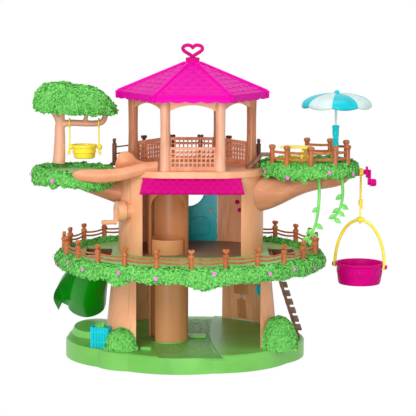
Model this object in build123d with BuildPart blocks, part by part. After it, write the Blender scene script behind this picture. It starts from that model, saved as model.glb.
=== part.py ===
"""A moulded plastic toy tree house: trunk rooms, lift, decks, gazebo, swing, hoist, slide and ladder.

Millimetres, +Z up, front toward -Y. The origin is on the underside of the base.
"""

import os
from math import acos, cos, degrees, hypot, radians, sin, sqrt

from build123d import *

os.makedirs("parts", exist_ok=True)

# Levels
base_top = 28
deck_top = 168
deck_thickness = 4
top_floor_bottom = 294
gazebo_floor = 304
eave_bottom = 413

# Shared clearances
sliding_gap = 1.0
pin_gap = 0.3
seat_gap = 0.3

# Base
base_centre = (-6.5, 10)
base_half_width = 195
base_half_depth = 170
base_crease_depth = 5
base_crease_angles = (8, 48, 90, 132, 176, 224, 242, 283, 328)
base_edge_round = 2.5
path_depth = 2
path_right_edge = ((60, -200), (38, -63), (35, 51), (48, 200))
path_left_edge = ((-42, -200), (-60, -37), (-62, 200))
landing_wall_offset = 18
landing_y = 38
landing_half_width = 40
landing_half_depth = 62
landing_height = 10
lift_stop_centre = (13, 1)
lift_stop_length = 30
lift_stop_depth = 12
lift_stop_height = 3

# Lower trunk walls
trunk_centre = (4, 25)
lower_width = 276
lower_depth = 270
lower_front_radius = 65
lower_back_radius = 120
lower_taper = 14
wall_thickness = 2.5
lower_front_left = -83
lower_front_right = 112
lower_back_left = -50
lower_back_right = 58
side_arch_width = 70
side_arch_centre = 8
side_arch_spring = 100
side_arch_rise = 38

# Ground door
door_angle = 53
door_width = 48
door_height = 84
door_gap = 0.8
door_hinge_radius = 2
door_hinge_lug = 6

# Lift
shaft_centre = (-34, -19)
shaft_radius = 33
shaft_wall = 2.5
shaft_exit_angle = 195
shaft_exit_width = 40
shaft_exit_height = 112
shaft_front_width = 54
shaft_front_height = 102
shaft_slot_angle = 140
shaft_slot_width = 6
shaft_slot_height = 60
car_wall = 1.8
car_height = 24
car_floor = 2
crank_seat = (-103, -38, 238)
crank_angle = 200
crank_drum_radius = 16
crank_drum_length = 13
crank_boss_radius = 12
crank_boss_depth = 7
crank_reach = 17
crank_arm_thickness = 4
crank_arm_width = 8
crank_handle_radius = 3.5
crank_handle_length = 20
crank_axle_radius = 3

# Upper trunk walls
upper_centre = (3, 22)
upper_width = 234
upper_depth = 176
upper_radius = 80
upper_front_left = -74
upper_front_right = 82
upper_door_left = -50
upper_door_right = 48
upper_door_height = 118
upper_door_window_radius = 28
upper_door_window_height = 86

# Awning
awning_left = -76
awning_right = 84
awning_top = 293.7
awning_drop = 22
awning_reach = 16
awning_thickness = 3

# Deck
deck_centre = (2, -32)
deck_post_half_width = 201
deck_post_half_depth = 182
deck_rim_inside = 9
deck_rim_outside = 14
deck_rim_bottom = 150
deck_rim_top = 174
deck_hatch_depth = 88
deck_hatch_front = -43
hatch_rim_margin = 24
left_hatch_wall_gap = 4
right_hatch_wall_gap = 0

# Fence with heart posts
fence_posts = 24
fence_post_radius = 3.8
fence_post_height = 22
fence_heart_width = 10
fence_heart_height = 9
fence_heart_thickness = 4
fence_rail = 2
fence_rail_heights = (8, 13)
fence_end_gap = 0.1

# Gazebo
gazebo_centre = (5, 27)
top_floor_overhang = 5
column_radius = 8
column_front_half = 43.5
column_side_half = 95.5
column_row_half = 81
column_height = 122.7
column_bite = 1
header_thickness = 4
header_depth = 28.7
header_rise = 10
lattice_height = 38
lattice_thickness = 3
lattice_columns = 10
lattice_rows = 4
lattice_bar = 2.2
lattice_foot = 7
lattice_rail = 5

# Roof
roof_radius = 120
roof_top_radius = 12
roof_height = 46
roof_thickness = 2.5
fascia_height = 11
finial_cap_radius = 10
finial_cap_height = 8
heart_width = 36
heart_height = 24
heart_bar = 4
heart_thickness = 4.5

# Back balcony
balcony_shift = -9
balcony_half_width = 125
balcony_start = 55
balcony_reach = 96
balcony_thickness = 4
balcony_posts = 6
balcony_post_height = 31
balcony_rail_heights = (14, 25)
balcony_post_inset = 5
balcony_first_angle = 10

# Left platform and tree
left_centre = (-185, 2)
left_half_width = 68
left_half_depth = 64
leaf_rim_width = 14
left_rim_bottom = 276
left_rim_top = 306
left_floor_bottom = 294
left_floor_thickness = 4
left_step_left = -190
left_step_top = 288
left_step_back = -10
tree_x = -211
tree_y = 30
tree_foot_radius = 11
tree_top_radius = 7
tree_fork_height = 372
tree_lean = 4
limb_radius = 5.5
limb_end_x = -138
canopy_bottom = 384
canopy_top = 441
canopy_centre = (-187, 30)
canopy_half_width = 66
canopy_half_depth = 50

# Swing
swing_left_x = -193
swing_right_x = -146
swing_pivot_drop = 9
swing_pin_radius = 1.2
swing_eye_radius = 3
swing_eye_width = 3
swing_lug_thickness = 2.5
swing_strap = 2.2
swing_tub_top = 337
swing_tub_height = 22
swing_tub_radius = 20
swing_tub_bottom_radius = 17
swing_tub_wall = 1.8

# Bark chute from the gazebo to the left platform
chute_near_y = -62
chute_width = 46
chute_wall = 3
chute_right_x = -48
chute_left_x = -182
chute_far_left_x = -118
chute_bend_x = -116
chute_far_bump = 7
chute_floor_thickness = 3
chute_wall_height = 17

# Branches: section stations (x, centre z, half height, half width)
left_branch_stations = ((-98, 260, 22, 26), (-140, 270, 17, 24), (-190, 283, 10.6, 20))
right_branch_stations = (
    (98, 262, 28.5, 28.5),
    (122, 264, 28, 28),
    (152, 270, 22, 25),
    (180, 279, 17.5, 24),
    (215, 284.5, 13.8, 20),
    (256, 292.5, 6.2, 10),
)
left_branch_y = 10
right_branch_y = -8

# Right platform
right_centre = (193, 4)
right_half_width = 79
right_half_depth = 80
right_rim_bottom = 286
right_rim_top = 312
right_floor_bottom = 300
right_floor_thickness = 4
rail_post_radius = 3.25
rail_post_cap_radius = 4.5
rail_post_height = 34
rail_height = 4
rail_thickness = 2
rail_levels = (12, 24)
right_fence_angles = (222, 250, 282, 311, 342, 12, 40, 68, 96)

# Picnic table
table_centre = (170, -12)
table_top_height = 36
table_length = 44
table_width = 26
table_thickness = 3
bench_height = 18
bench_offset = 26
bench_width = 11
table_leg = 4
table_turn = -20
table_end_inset = 8

# Umbrella
umbrella_x = 236
umbrella_y = 18
umbrella_post_radius = 5
umbrella_fork_reach = 8
umbrella_tongue = 4
umbrella_tongue_radius = 4.5
umbrella_pin_radius = 1.6
umbrella_knuckle_height = 352
umbrella_socket_length = 15
umbrella_rod_radius = 2
umbrella_radius = 56
umbrella_rim = 402
umbrella_dome_height = 20
umbrella_thickness = 1.6
umbrella_knob_radius = 4

# Hoist: winch, rope, hook, bail and basket
winch_axis_z = 297
winch_y = 0
winch_drum_left = 273.5
winch_drum_right = 284
winch_drum_radius = 4
winch_flange_radius = 9
winch_flange_thickness = 3
winch_crank_reach = 17
winch_arm_thickness = 5
winch_arm_width = 8
winch_knob_radius = 6
winch_knob_length = 10
bracket_start = 258
bracket_half_width = 5
bracket_half_height = 6
winch_axle_radius = 2
winch_axle_depth = 10
rope_x = 276
rope_radius = 1.1
rope_bottom = 248
knot_radius = 3.2
hook_bar_radius = 1.3
hook_slack = 0.8
bail_bar_radius = 2.5
bail_half_width = 42
bail_top = 219
basket_rim = 150
basket_height = 34
basket_radius = 38.5
basket_bottom_radius = 34
basket_wall = 2
basket_turn = 24
bail_pivot_height = 145
bail_pin_radius = 1.6
bail_eye_radius = 4.5
bail_eye_thickness = 3

# Stile, ladder, slide and planter
stile_foot_x = 90
stile_ridge_x = 116
stile_end_x = 134
stile_y = -5
stile_width = 26
stile_rise = 23.5
stile_thickness = 4
ladder_y = 6
ladder_width = 40
ladder_wall_gap = 3.5
ladder_reach = 46.5
ladder_rail = 5
ladder_treads = 9
ladder_tread_thickness = 3
ladder_tread_depth = 12
# Slide stations (distance from the wall, y, floor z, half width, wall height)
slide_stations = (
    (12, -40, 156.5, 18.5, 6.2),
    (15, -24, 139.0, 22, 20),
    (24, 12, 104.0, 27, 28),
    (33, 52, 69.0, 30, 26),
    (36, 92, 40.5, 30, 18),
)
slide_wall = 2.2
planter_wall_offset = 8
planter_y = -84
planter_turn = -14
planter_width = 28
planter_depth = 17
planter_height = 30
planter_wall = 2
planter_soil = 8

# Bushes
left_bush_centre = (-108, -102)
left_bush_size = (22, 19, 35)
right_bush_centre = (142, -86)
right_bush_size = (27, 26, 50)

# Vines
vine_radius = 1.8
vine_routes = (
    ((205, -40, 299.7), (206, -42, 262), (203, -42, 228), (196, -42, 205), (188, -44, 192)),
    ((241, -33, 299.7), (244, -36, 268), (240, -37, 244), (230, -38, 226)),
)

# Sides of the lower trunk at the base
lower_left_x = trunk_centre[0] - lower_width / 2
lower_right_x = trunk_centre[0] + lower_width / 2


def finish(piece, name):
    """Labels a finished piece and writes its file."""
    piece.part.label = name
    export_step(piece.part, f"parts/{name}.step")


def bar(start, end, width, height):
    """A straight square bar between two points, its width kept level."""
    run = Vector(*end) - Vector(*start)
    level = Vector(-run.Y, run.X, 0) if hypot(run.X, run.Y) > 1e-6 else Vector(1, 0, 0)
    with BuildPart() as piece:
        with BuildSketch(Plane(origin=start, x_dir=level, z_dir=run)):
            Rectangle(width, height)
        extrude(amount=run.length)
    return piece.part


def rod(start, end, radius):
    """A straight round rod between two points."""
    run = Vector(*end) - Vector(*start)
    with BuildPart() as piece:
        with BuildSketch(Plane(origin=start, z_dir=run)):
            Circle(radius)
        extrude(amount=run.length)
    return piece.part


def box(low, high):
    """A box between two corners."""
    size = [b - a for a, b in zip(low, high)]
    centre = tuple((a + b) / 2 for a, b in zip(low, high))
    with BuildPart() as piece:
        with Locations(centre):
            Box(*size)
    return piece.part


def rounded_block(centre, low, high, bottom, top):
    """A tapered block between two levels; each outline is (width, depth, front radius, back radius)."""
    with BuildPart() as piece:
        with BuildSketch(Plane.XY.offset(low)) as foot:
            with Locations(centre):
                Rectangle(bottom[0], bottom[1])
            fillet(foot.vertices().sort_by(Axis.Y)[:2], bottom[2])
            fillet(foot.vertices().sort_by(Axis.Y)[-2:], bottom[3])
        with BuildSketch(Plane.XY.offset(high)) as head:
            with Locations(centre):
                Rectangle(top[0], top[1])
            fillet(head.vertices().sort_by(Axis.Y)[:2], top[2])
            fillet(head.vertices().sort_by(Axis.Y)[-2:], top[3])
        loft(ruled=True)
    return piece.part


def outline(width, depth, front_radius, back_radius, inset):
    """The sizes of a trunk outline moved in by an inset."""
    return (width - 2 * inset, depth - 2 * inset, front_radius - inset, back_radius - inset)


def lower_block(inset):
    """The lower trunk as a solid block, moved in by an inset."""
    foot = outline(lower_width, lower_depth, lower_front_radius, lower_back_radius, inset)
    head = outline(lower_width, lower_depth, lower_front_radius, lower_back_radius, inset + lower_taper)
    return rounded_block(trunk_centre, base_top, deck_top - deck_thickness, foot, head)


def upper_block(inset, low=deck_top, high=top_floor_bottom):
    """The upper trunk as a solid block, moved in by an inset."""
    plan = outline(upper_width, upper_depth, upper_radius, upper_radius, inset)
    return rounded_block(upper_centre, low, high, plan, plan)


def turned_plane(centre, angle, level=0):
    """A level plane whose x axis points along an angle."""
    return Plane(origin=(*centre, level), x_dir=(cos(radians(angle)), sin(radians(angle)), 0), z_dir=(0, 0, 1))


def turned_box(plane, low, high):
    """A box between two corners given in a plane's own axes."""
    size = [b - a for a, b in zip(low, high)]
    with BuildPart() as piece:
        with BuildSketch(plane.offset(low[2])):
            with Locations(((low[0] + high[0]) / 2, (low[1] + high[1]) / 2)):
                Rectangle(size[0], size[1])
        extrude(amount=size[2])
    return piece.part


def heart(width, height):
    """A flat heart with its tip at the origin, pointing down the y axis."""
    with BuildSketch() as face:
        with BuildLine():
            side = Line((0, 0), (width / 2, 0.6 * height))
            ThreePointArc(side @ 1, (0.27 * width, height), (0, 0.72 * height))
            mirror(about=Plane.YZ)
        make_face()
    return face.sketch


def on_ellipse(centre, half_width, half_depth, angle):
    """The point of an ellipse at an angle in degrees."""
    return (
        centre[0] + half_width * cos(radians(angle)),
        centre[1] + half_depth * sin(radians(angle)),
    )


def facing_plane(x, y, z, direction):
    """An upright plane at a point that looks along a level direction in degrees."""
    look = (cos(radians(direction)), sin(radians(direction)), 0)
    side = (-sin(radians(direction)), cos(radians(direction)), 0)
    return Plane(origin=(x, y, z), x_dir=side, z_dir=look)


def heart_post(x, y, z, direction, height):
    """A round post with a heart on top that faces along a direction."""
    with BuildPart() as piece:
        add(rod((x, y, z), (x, y, z + height), fence_post_radius))
        with BuildSketch(facing_plane(x, y, z + height - 1, direction)):
            add(heart(fence_heart_width, fence_heart_height))
        extrude(amount=fence_heart_thickness / 2, both=True)
    return piece.part


def elliptic_ring(centre, half_width, half_depth, inside, outside, low, high):
    """A level ring that follows an ellipse, with its bottom edges tucked in."""
    tuck = 0.3 * (outside + inside)
    with BuildPart() as piece:
        with BuildSketch(Plane.XY.offset(low)):
            with Locations(centre):
                Ellipse(half_width + outside - tuck, half_depth + outside - tuck)
        with BuildSketch(Plane.XY.offset((low + high) / 2)):
            with Locations(centre):
                Ellipse(half_width + outside, half_depth + outside)
        with BuildSketch(Plane.XY.offset(high)):
            with Locations(centre):
                Ellipse(half_width + outside - tuck, half_depth + outside - tuck)
        loft(ruled=True)
        with BuildSketch(Plane.XY.offset(low)):
            with Locations(centre):
                Ellipse(half_width - inside, half_depth - inside)
        extrude(amount=high - low, mode=Mode.SUBTRACT)
    return piece.part


def branch(stations, y):
    """A limb lofted through upright oval sections."""
    with BuildPart() as piece:
        for x, z, half_height, half_width in stations:
            with BuildSketch(Plane(origin=(x, y, z), x_dir=(0, 1, 0), z_dir=(1, 0, 0))):
                Ellipse(half_width, half_height)
        loft()
    return piece.part


# Base: a lobed disc with a sunk path, two lift stops and a raised slide landing
with BuildPart() as base:
    with BuildSketch():
        with BuildLine():
            creases = [
                on_ellipse(base_centre, base_half_width - base_crease_depth, base_half_depth - base_crease_depth, a)
                for a in base_crease_angles
            ]
            for index, angle in enumerate(base_crease_angles):
                following = base_crease_angles[(index + 1) % len(base_crease_angles)]
                middle = (angle + following + (360 if following < angle else 0)) / 2
                ThreePointArc(
                    creases[index],
                    on_ellipse(base_centre, base_half_width, base_half_depth, middle),
                    creases[(index + 1) % len(creases)],
                )
        make_face()
    extrude(amount=base_top)
    chamfer(base.edges().group_by(Axis.Z)[-1], base_edge_round)
    with BuildSketch(Plane.XY.offset(base_top - path_depth)):
        with BuildLine():
            right_edge = Spline(*path_right_edge)
            left_edge = Spline(*path_left_edge)
            Line(right_edge @ 0, left_edge @ 0)
            Line(right_edge @ 1, left_edge @ 1)
        make_face()
    extrude(amount=path_depth + 1, mode=Mode.SUBTRACT)
    with BuildSketch(Plane.XY.offset(base_top)):
        with Locations((lower_left_x - landing_wall_offset, landing_y)):
            Ellipse(landing_half_width, landing_half_depth)
    extrude(amount=landing_height, taper=25)
    add(lower_block(0), mode=Mode.SUBTRACT)
    with BuildSketch(Plane.XY.offset(base_top - path_depth - 1)):
        with Locations(shaft_centre):
            Circle(shaft_radius + 1)
    extrude(amount=path_depth + 1)
    with BuildSketch(Plane.XY.offset(base_top - path_depth - 1)):
        with Locations(lift_stop_centre):
            Rectangle(lift_stop_length, lift_stop_depth)
    extrude(amount=path_depth + 1 + lift_stop_height)
finish(base, "base")

# Bushes: two moulded mounds that lean on the trunk's front legs
with BuildPart() as bushes:
    for centre, size in ((left_bush_centre, left_bush_size), (right_bush_centre, right_bush_size)):
        with BuildSketch(Plane.XY.offset(base_top)):
            with Locations(centre):
                Ellipse(size[0], size[1])
        with BuildSketch(Plane.XY.offset(base_top + 0.55 * size[2])):
            with Locations(centre):
                Ellipse(0.92 * size[0], 0.92 * size[1])
        with BuildSketch(Plane.XY.offset(base_top + size[2])):
            with Locations(centre):
                Ellipse(0.45 * size[0], 0.45 * size[1])
        loft(ruled=True)
    add(lower_block(0), mode=Mode.SUBTRACT)
finish(bushes, "bushes")

# Lower walls: a tapered shell in three segments, with the front and the back left open
door_plane = turned_plane(
    (
        trunk_centre[0] + lower_width / 2 - lower_back_radius,
        trunk_centre[1] + lower_depth / 2 - lower_back_radius,
    ),
    door_angle,
)
far = 400
half_door = door_width / 2
door_top = base_top + door_height
deck_bottom = deck_top - deck_thickness


def lower_shell_radius(z):
    """The outer radius of the back corner at a height."""
    return lower_back_radius - lower_taper * (z - base_top) / (deck_bottom - base_top)


def hinge_point(z):
    """The hinge line of the ground door at a height."""
    reach = lower_shell_radius(z) + 0.6 * door_hinge_radius
    return tuple(door_plane.from_local_coords(Vector(sqrt(reach**2 - half_door**2), -half_door, z)))


with BuildPart() as lower_wall_left:
    add(lower_block(0))
    add(lower_block(wall_thickness), mode=Mode.SUBTRACT)
    add(box((lower_front_left, -far, 0), (far, trunk_centre[1], far)), mode=Mode.SUBTRACT)
    add(box((lower_back_left, trunk_centre[1], 0), (far, far, far)), mode=Mode.SUBTRACT)
    with BuildSketch(Plane.YZ.offset(trunk_centre[0] - far)):
        with BuildLine():
            left_jamb = side_arch_centre - side_arch_width / 2
            right_jamb = side_arch_centre + side_arch_width / 2
            Polyline((left_jamb, side_arch_spring), (left_jamb, base_top), (right_jamb, base_top),
                     (right_jamb, side_arch_spring))
            ThreePointArc((left_jamb, side_arch_spring), (left_jamb + 0.22 * side_arch_width, side_arch_spring + 25),
                          (side_arch_centre, side_arch_spring + side_arch_rise))
            ThreePointArc((right_jamb, side_arch_spring), (right_jamb - 0.22 * side_arch_width, side_arch_spring + 25),
                          (side_arch_centre, side_arch_spring + side_arch_rise))
        make_face()
    extrude(amount=far, mode=Mode.SUBTRACT)
finish(lower_wall_left, "lower_wall_left")

with BuildPart() as lower_wall_right:
    add(lower_block(0))
    add(lower_block(wall_thickness), mode=Mode.SUBTRACT)
    add(box((-far, -far, 0), (lower_front_right, trunk_centre[1], far)), mode=Mode.SUBTRACT)
    add(box((-far, trunk_centre[1], 0), (door_plane.origin.X, far, far)), mode=Mode.SUBTRACT)
    add(turned_box(door_plane, (0, -half_door, 0), (far, far, far)), mode=Mode.SUBTRACT)
    leaf_ends = (base_top + door_hinge_lug, door_top - door_hinge_lug)
    add(rod(hinge_point(leaf_ends[0]), hinge_point(leaf_ends[1]), door_hinge_radius + door_gap), mode=Mode.SUBTRACT)
    for low, high in ((base_top + seat_gap, leaf_ends[0]), (leaf_ends[1], door_top)):
        add(rod(hinge_point(low), hinge_point(high), door_hinge_radius))
    add(lower_block(wall_thickness), mode=Mode.SUBTRACT)
finish(lower_wall_right, "lower_wall_right")

with BuildPart() as lower_wall_back:
    add(lower_block(0))
    add(lower_block(wall_thickness), mode=Mode.SUBTRACT)
    add(box((-far, -far, 0), (lower_back_right, far, far)), mode=Mode.SUBTRACT)
    add(turned_box(door_plane, (-far, -far, 0), (far, half_door, far)), mode=Mode.SUBTRACT)
finish(lower_wall_back, "lower_wall_back")

with BuildPart() as lower_wall_over_door:
    add(lower_block(0))
    add(lower_block(wall_thickness), mode=Mode.SUBTRACT)
    add(turned_box(door_plane, (0, -half_door, door_top), (far, half_door, far)), mode=Mode.INTERSECT)
finish(lower_wall_over_door, "lower_wall_over_door")

# Ground door: a curved leaf that hangs on a barrel at its right edge
with BuildPart() as lower_door:
    add(lower_block(0))
    add(lower_block(wall_thickness), mode=Mode.SUBTRACT)
    add(
        turned_box(
            door_plane,
            (0, -half_door + door_gap, base_top + door_gap),
            (far, half_door - door_gap, door_top - door_gap),
        ),
        mode=Mode.INTERSECT,
    )
    leaf_low = base_top + door_hinge_lug + door_gap
    leaf_high = door_top - door_hinge_lug - door_gap
    for low, high in ((base_top - 2, leaf_low), (leaf_high, door_top + 2)):
        add(rod(hinge_point(low), hinge_point(high), door_hinge_radius + door_gap), mode=Mode.SUBTRACT)
    add(rod(hinge_point(leaf_low), hinge_point(leaf_high), door_hinge_radius))
finish(lower_door, "lower_door")

# Lift shaft: one round tube in two storeys, with an exit below and an arched front above
with BuildPart() as lift_shaft_lower:
    with BuildSketch(Plane.XY.offset(base_top)):
        with Locations(shaft_centre):
            Circle(shaft_radius)
            Circle(shaft_radius - shaft_wall, mode=Mode.SUBTRACT)
    extrude(amount=deck_bottom - base_top)
    half_exit = shaft_exit_width / 2
    add(
        turned_box(
            turned_plane(shaft_centre, shaft_exit_angle),
            (0, -half_exit, base_top),
            (2 * shaft_radius, half_exit, base_top + shaft_exit_height),
        ),
        mode=Mode.SUBTRACT,
    )
finish(lift_shaft_lower, "lift_shaft_lower")

with BuildPart() as lift_shaft_upper:
    with BuildSketch(Plane.XY.offset(deck_top)):
        with Locations(shaft_centre):
            Circle(shaft_radius)
            Circle(shaft_radius - shaft_wall, mode=Mode.SUBTRACT)
    extrude(amount=top_floor_bottom - deck_top)
    with BuildSketch(Plane.XZ.offset(-shaft_centre[1])):
        half_front = shaft_front_width / 2
        with Locations((shaft_centre[0], deck_top + (shaft_front_height - half_front) / 2)):
            Rectangle(shaft_front_width, shaft_front_height - half_front)
        with Locations((shaft_centre[0], deck_top + shaft_front_height - half_front)):
            Circle(half_front)
    extrude(amount=2 * shaft_radius, mode=Mode.SUBTRACT)
    half_slot = shaft_slot_width / 2
    slot_low = deck_top + car_height
    add(
        turned_box(
            turned_plane(shaft_centre, shaft_slot_angle),
            (0, -half_slot, slot_low),
            (2 * shaft_radius, half_slot, slot_low + shaft_slot_height),
        ),
        mode=Mode.SUBTRACT,
    )
finish(lift_shaft_upper, "lift_shaft_upper")

# Lift car: an open cup that slides in the shaft
car_radius = shaft_radius - shaft_wall - sliding_gap
with BuildPart() as lift_car:
    with BuildSketch(Plane.XY.offset(deck_top)):
        with Locations(shaft_centre):
            Circle(car_radius)
    extrude(amount=car_height)
    with BuildSketch(Plane.XY.offset(deck_top + car_floor)):
        with Locations(shaft_centre):
            Circle(car_radius - car_wall)
    extrude(amount=car_height, mode=Mode.SUBTRACT)
finish(lift_car, "lift_car")

# Lift crank: drum, arm and handle on one axle in the trunk's boss
crank_plane = facing_plane(*crank_seat, crank_angle)
with BuildPart() as lift_crank:
    with BuildSketch(crank_plane.offset(seat_gap)):
        Circle(crank_drum_radius)
    extrude(amount=crank_drum_length)
    with BuildSketch(crank_plane.offset(-crank_boss_depth)):
        Circle(crank_axle_radius)
    extrude(amount=crank_boss_depth + 2 * seat_gap)
    with BuildSketch(crank_plane.offset(crank_drum_length)):
        with Locations((0, -crank_reach / 2)):
            SlotCenterToCenter(crank_reach, crank_arm_width, rotation=90)
    extrude(amount=crank_arm_thickness)
    with BuildSketch(crank_plane.offset(crank_drum_length)):
        with Locations((0, -crank_reach)):
            Circle(crank_handle_radius)
    extrude(amount=crank_arm_thickness + crank_handle_length)
finish(lift_crank, "lift_crank")

# Upper walls: an upright shell in two halves with a lintel over the back door
with BuildPart() as upper_wall_left:
    add(upper_block(0))
    with BuildSketch(crank_plane.offset(-4 * crank_boss_depth)):
        Circle(crank_boss_radius)
    extrude(amount=4 * crank_boss_depth)
    add(upper_block(wall_thickness), mode=Mode.SUBTRACT)
    add(box((upper_front_left, -far, 0), (far, upper_centre[1], far)), mode=Mode.SUBTRACT)
    add(box((upper_door_left, upper_centre[1], 0), (far, far, far)), mode=Mode.SUBTRACT)
    with BuildSketch(crank_plane.offset(-crank_boss_depth - pin_gap)):
        Circle(crank_axle_radius + pin_gap)
    extrude(amount=2 * crank_boss_depth, mode=Mode.SUBTRACT)
finish(upper_wall_left, "upper_wall_left")

with BuildPart() as upper_wall_right:
    add(upper_block(0))
    add(upper_block(wall_thickness), mode=Mode.SUBTRACT)
    add(box((-far, -far, 0), (upper_front_right, upper_centre[1], far)), mode=Mode.SUBTRACT)
    add(box((-far, upper_centre[1], 0), (upper_door_right, far, far)), mode=Mode.SUBTRACT)
finish(upper_wall_right, "upper_wall_right")

upper_door_top = deck_top + upper_door_height
with BuildPart() as upper_wall_over_door:
    add(upper_block(0))
    add(upper_block(wall_thickness), mode=Mode.SUBTRACT)
    add(
        box((upper_door_left, upper_centre[1], upper_door_top), (upper_door_right, far, far)),
        mode=Mode.INTERSECT,
    )
finish(upper_wall_over_door, "upper_wall_over_door")

# Back door of the upper room, with a round window
with BuildPart() as upper_door:
    add(upper_block(0))
    add(upper_block(wall_thickness), mode=Mode.SUBTRACT)
    add(
        box(
            (upper_door_left + seat_gap, upper_centre[1], deck_top + seat_gap),
            (upper_door_right - seat_gap, far, upper_door_top - seat_gap),
        ),
        mode=Mode.INTERSECT,
    )
    with BuildSketch(Plane.XZ.offset(-upper_centre[1])):
        with Locations(((upper_door_left + upper_door_right) / 2, deck_top + upper_door_window_height)):
            Circle(upper_door_window_radius)
    extrude(amount=-far, mode=Mode.SUBTRACT)
finish(upper_door, "upper_door")

# Awning: a sloping tiled board over the front opening, with closed ends
upper_front = upper_centre[1] - upper_depth / 2
with BuildPart() as awning:
    with BuildSketch(Plane.YZ.offset(awning_left)):
        with BuildLine():
            Polyline(
                (upper_front - seat_gap, awning_top),
                (upper_front - seat_gap, awning_top - awning_thickness),
                (upper_front - awning_reach, awning_top - awning_drop),
                (upper_front - awning_reach - awning_thickness, awning_top - awning_drop + 1),
                (upper_front - awning_thickness, awning_top),
                close=True,
            )
        make_face()
    extrude(amount=awning_right - awning_left)
finish(awning, "awning")

# Deck: an oval floor with the lift hole and two hatches
def deck_oval(change):
    """The deck's post line moved out by a distance."""
    return (deck_post_half_width + change, deck_post_half_depth + change)


with BuildPart() as deck_floor:
    with BuildSketch(Plane.XY.offset(deck_bottom)):
        with Locations(deck_centre):
            Ellipse(*deck_oval(-deck_rim_inside))
        with Locations(shaft_centre):
            Circle(shaft_radius - shaft_wall, mode=Mode.SUBTRACT)
        hatch_reach = deck_post_half_width - deck_rim_inside - hatch_rim_margin
        for outside, inside in (
            (deck_centre[0] - hatch_reach, lower_left_x + lower_taper - left_hatch_wall_gap),
            (deck_centre[0] + hatch_reach, lower_right_x - lower_taper + right_hatch_wall_gap),
        ):
            with Locations(((outside + inside) / 2, deck_hatch_front + deck_hatch_depth / 2)):
                Rectangle(abs(outside - inside), deck_hatch_depth, mode=Mode.SUBTRACT)
    extrude(amount=deck_thickness)
finish(deck_floor, "deck_floor")

with BuildPart() as deck_leaf_rim:
    add(
        elliptic_ring(
            deck_centre,
            *deck_oval(0),
            deck_rim_inside,
            deck_rim_outside,
            deck_rim_bottom,
            deck_rim_top,
        )
    )
    add(lower_block(0), mode=Mode.SUBTRACT)
finish(deck_leaf_rim, "deck_leaf_rim")


def fence_run(start, count):
    """Posts and two rails along the deck's post line, counted in post steps."""
    step = 360 / fence_posts
    spots = [on_ellipse(deck_centre, *deck_oval(0), start + index * step) for index in range(count + 1)]
    with BuildPart() as run:
        for index, spot in enumerate(spots[:-1]):
            following = spots[index + 1]
            add(heart_post(*spot, deck_rim_top, start + index * step, fence_post_height))
            for height in fence_rail_heights:
                level = deck_rim_top + height
                first = Vector(*spot, level)
                last = Vector(*following, level)
                stop = first + (last - first) * (1 - fence_end_gap)
                add(bar(tuple(first), tuple(last if index < count - 1 else stop), fence_rail, fence_rail))
    return run.part


for name, start in (("right", -45), ("back", 45), ("left", 135), ("front", 225)):
    with BuildPart() as fence:
        add(fence_run(start, fence_posts // 4))
    finish(fence, f"deck_fence_{name}")

# Top floor under the gazebo
with BuildPart() as top_floor:
    add(upper_block(-top_floor_overhang, top_floor_bottom, gazebo_floor))
finish(top_floor, "top_floor")

# Gazebo: six columns with arched headers and four lattice panels
column_spots = [
    (gazebo_centre[0] - column_front_half, gazebo_centre[1] - column_row_half),
    (gazebo_centre[0] + column_front_half, gazebo_centre[1] - column_row_half),
    (gazebo_centre[0] + column_side_half, gazebo_centre[1]),
    (gazebo_centre[0] + column_front_half, gazebo_centre[1] + column_row_half),
    (gazebo_centre[0] - column_front_half, gazebo_centre[1] + column_row_half),
    (gazebo_centre[0] - column_side_half, gazebo_centre[1]),
]
with BuildPart() as gazebo_columns:
    for spot in column_spots:
        with BuildSketch(Plane.XY.offset(gazebo_floor)):
            with Locations(spot):
                Circle(column_radius)
        extrude(amount=column_height)
finish(gazebo_columns, "gazebo_columns")


def side_plane(index, level):
    """The upright plane between two neighbouring columns, its origin midway at a level."""
    first = Vector(*column_spots[index], level)
    last = Vector(*column_spots[(index + 1) % 6], level)
    run = last - first
    return Plane(origin=(first + last) / 2, x_dir=run, z_dir=run.cross(Vector(0, 0, 1)))


def clear_width(index):
    """The free width between two neighbouring columns."""
    first = Vector(*column_spots[index])
    last = Vector(*column_spots[(index + 1) % 6])
    return (last - first).length - 2 * column_radius + 2 * column_bite


header_top = gazebo_floor + column_height
with BuildPart() as gazebo_arches:
    for index in range(6):
        half = clear_width(index) / 2
        with BuildSketch(side_plane(index, header_top).offset(-header_thickness / 2)):
            with BuildLine():
                Polyline((-half, -header_depth), (-half, 0), (half, 0), (half, -header_depth))
                ThreePointArc((half, -header_depth), (0, -header_depth + header_rise), (-half, -header_depth))
            make_face()
        extrude(amount=header_thickness)
    add(gazebo_columns.part, mode=Mode.SUBTRACT)
finish(gazebo_arches, "gazebo_arches")

for index, name in ((0, "front"), (2, "back_right"), (3, "back"), (4, "back_left")):
    width = clear_width(index)
    holes_height = lattice_height - lattice_foot - lattice_rail
    pitch_x = (width - 2 * column_bite - lattice_bar) / lattice_columns
    pitch_y = (holes_height + lattice_bar) / lattice_rows
    with BuildPart() as lattice:
        with BuildSketch(side_plane(index, gazebo_floor).offset(-lattice_thickness / 2)):
            with Locations((0, lattice_height / 2)):
                Rectangle(width, lattice_height)
            with Locations((0, lattice_foot + holes_height / 2)):
                with GridLocations(pitch_x, pitch_y, lattice_columns, lattice_rows):
                    Rectangle(pitch_x - lattice_bar, pitch_y - lattice_bar, mode=Mode.SUBTRACT)
        extrude(amount=lattice_thickness)
        add(gazebo_columns.part, mode=Mode.SUBTRACT)
    finish(lattice, f"lattice_{name}")

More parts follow.
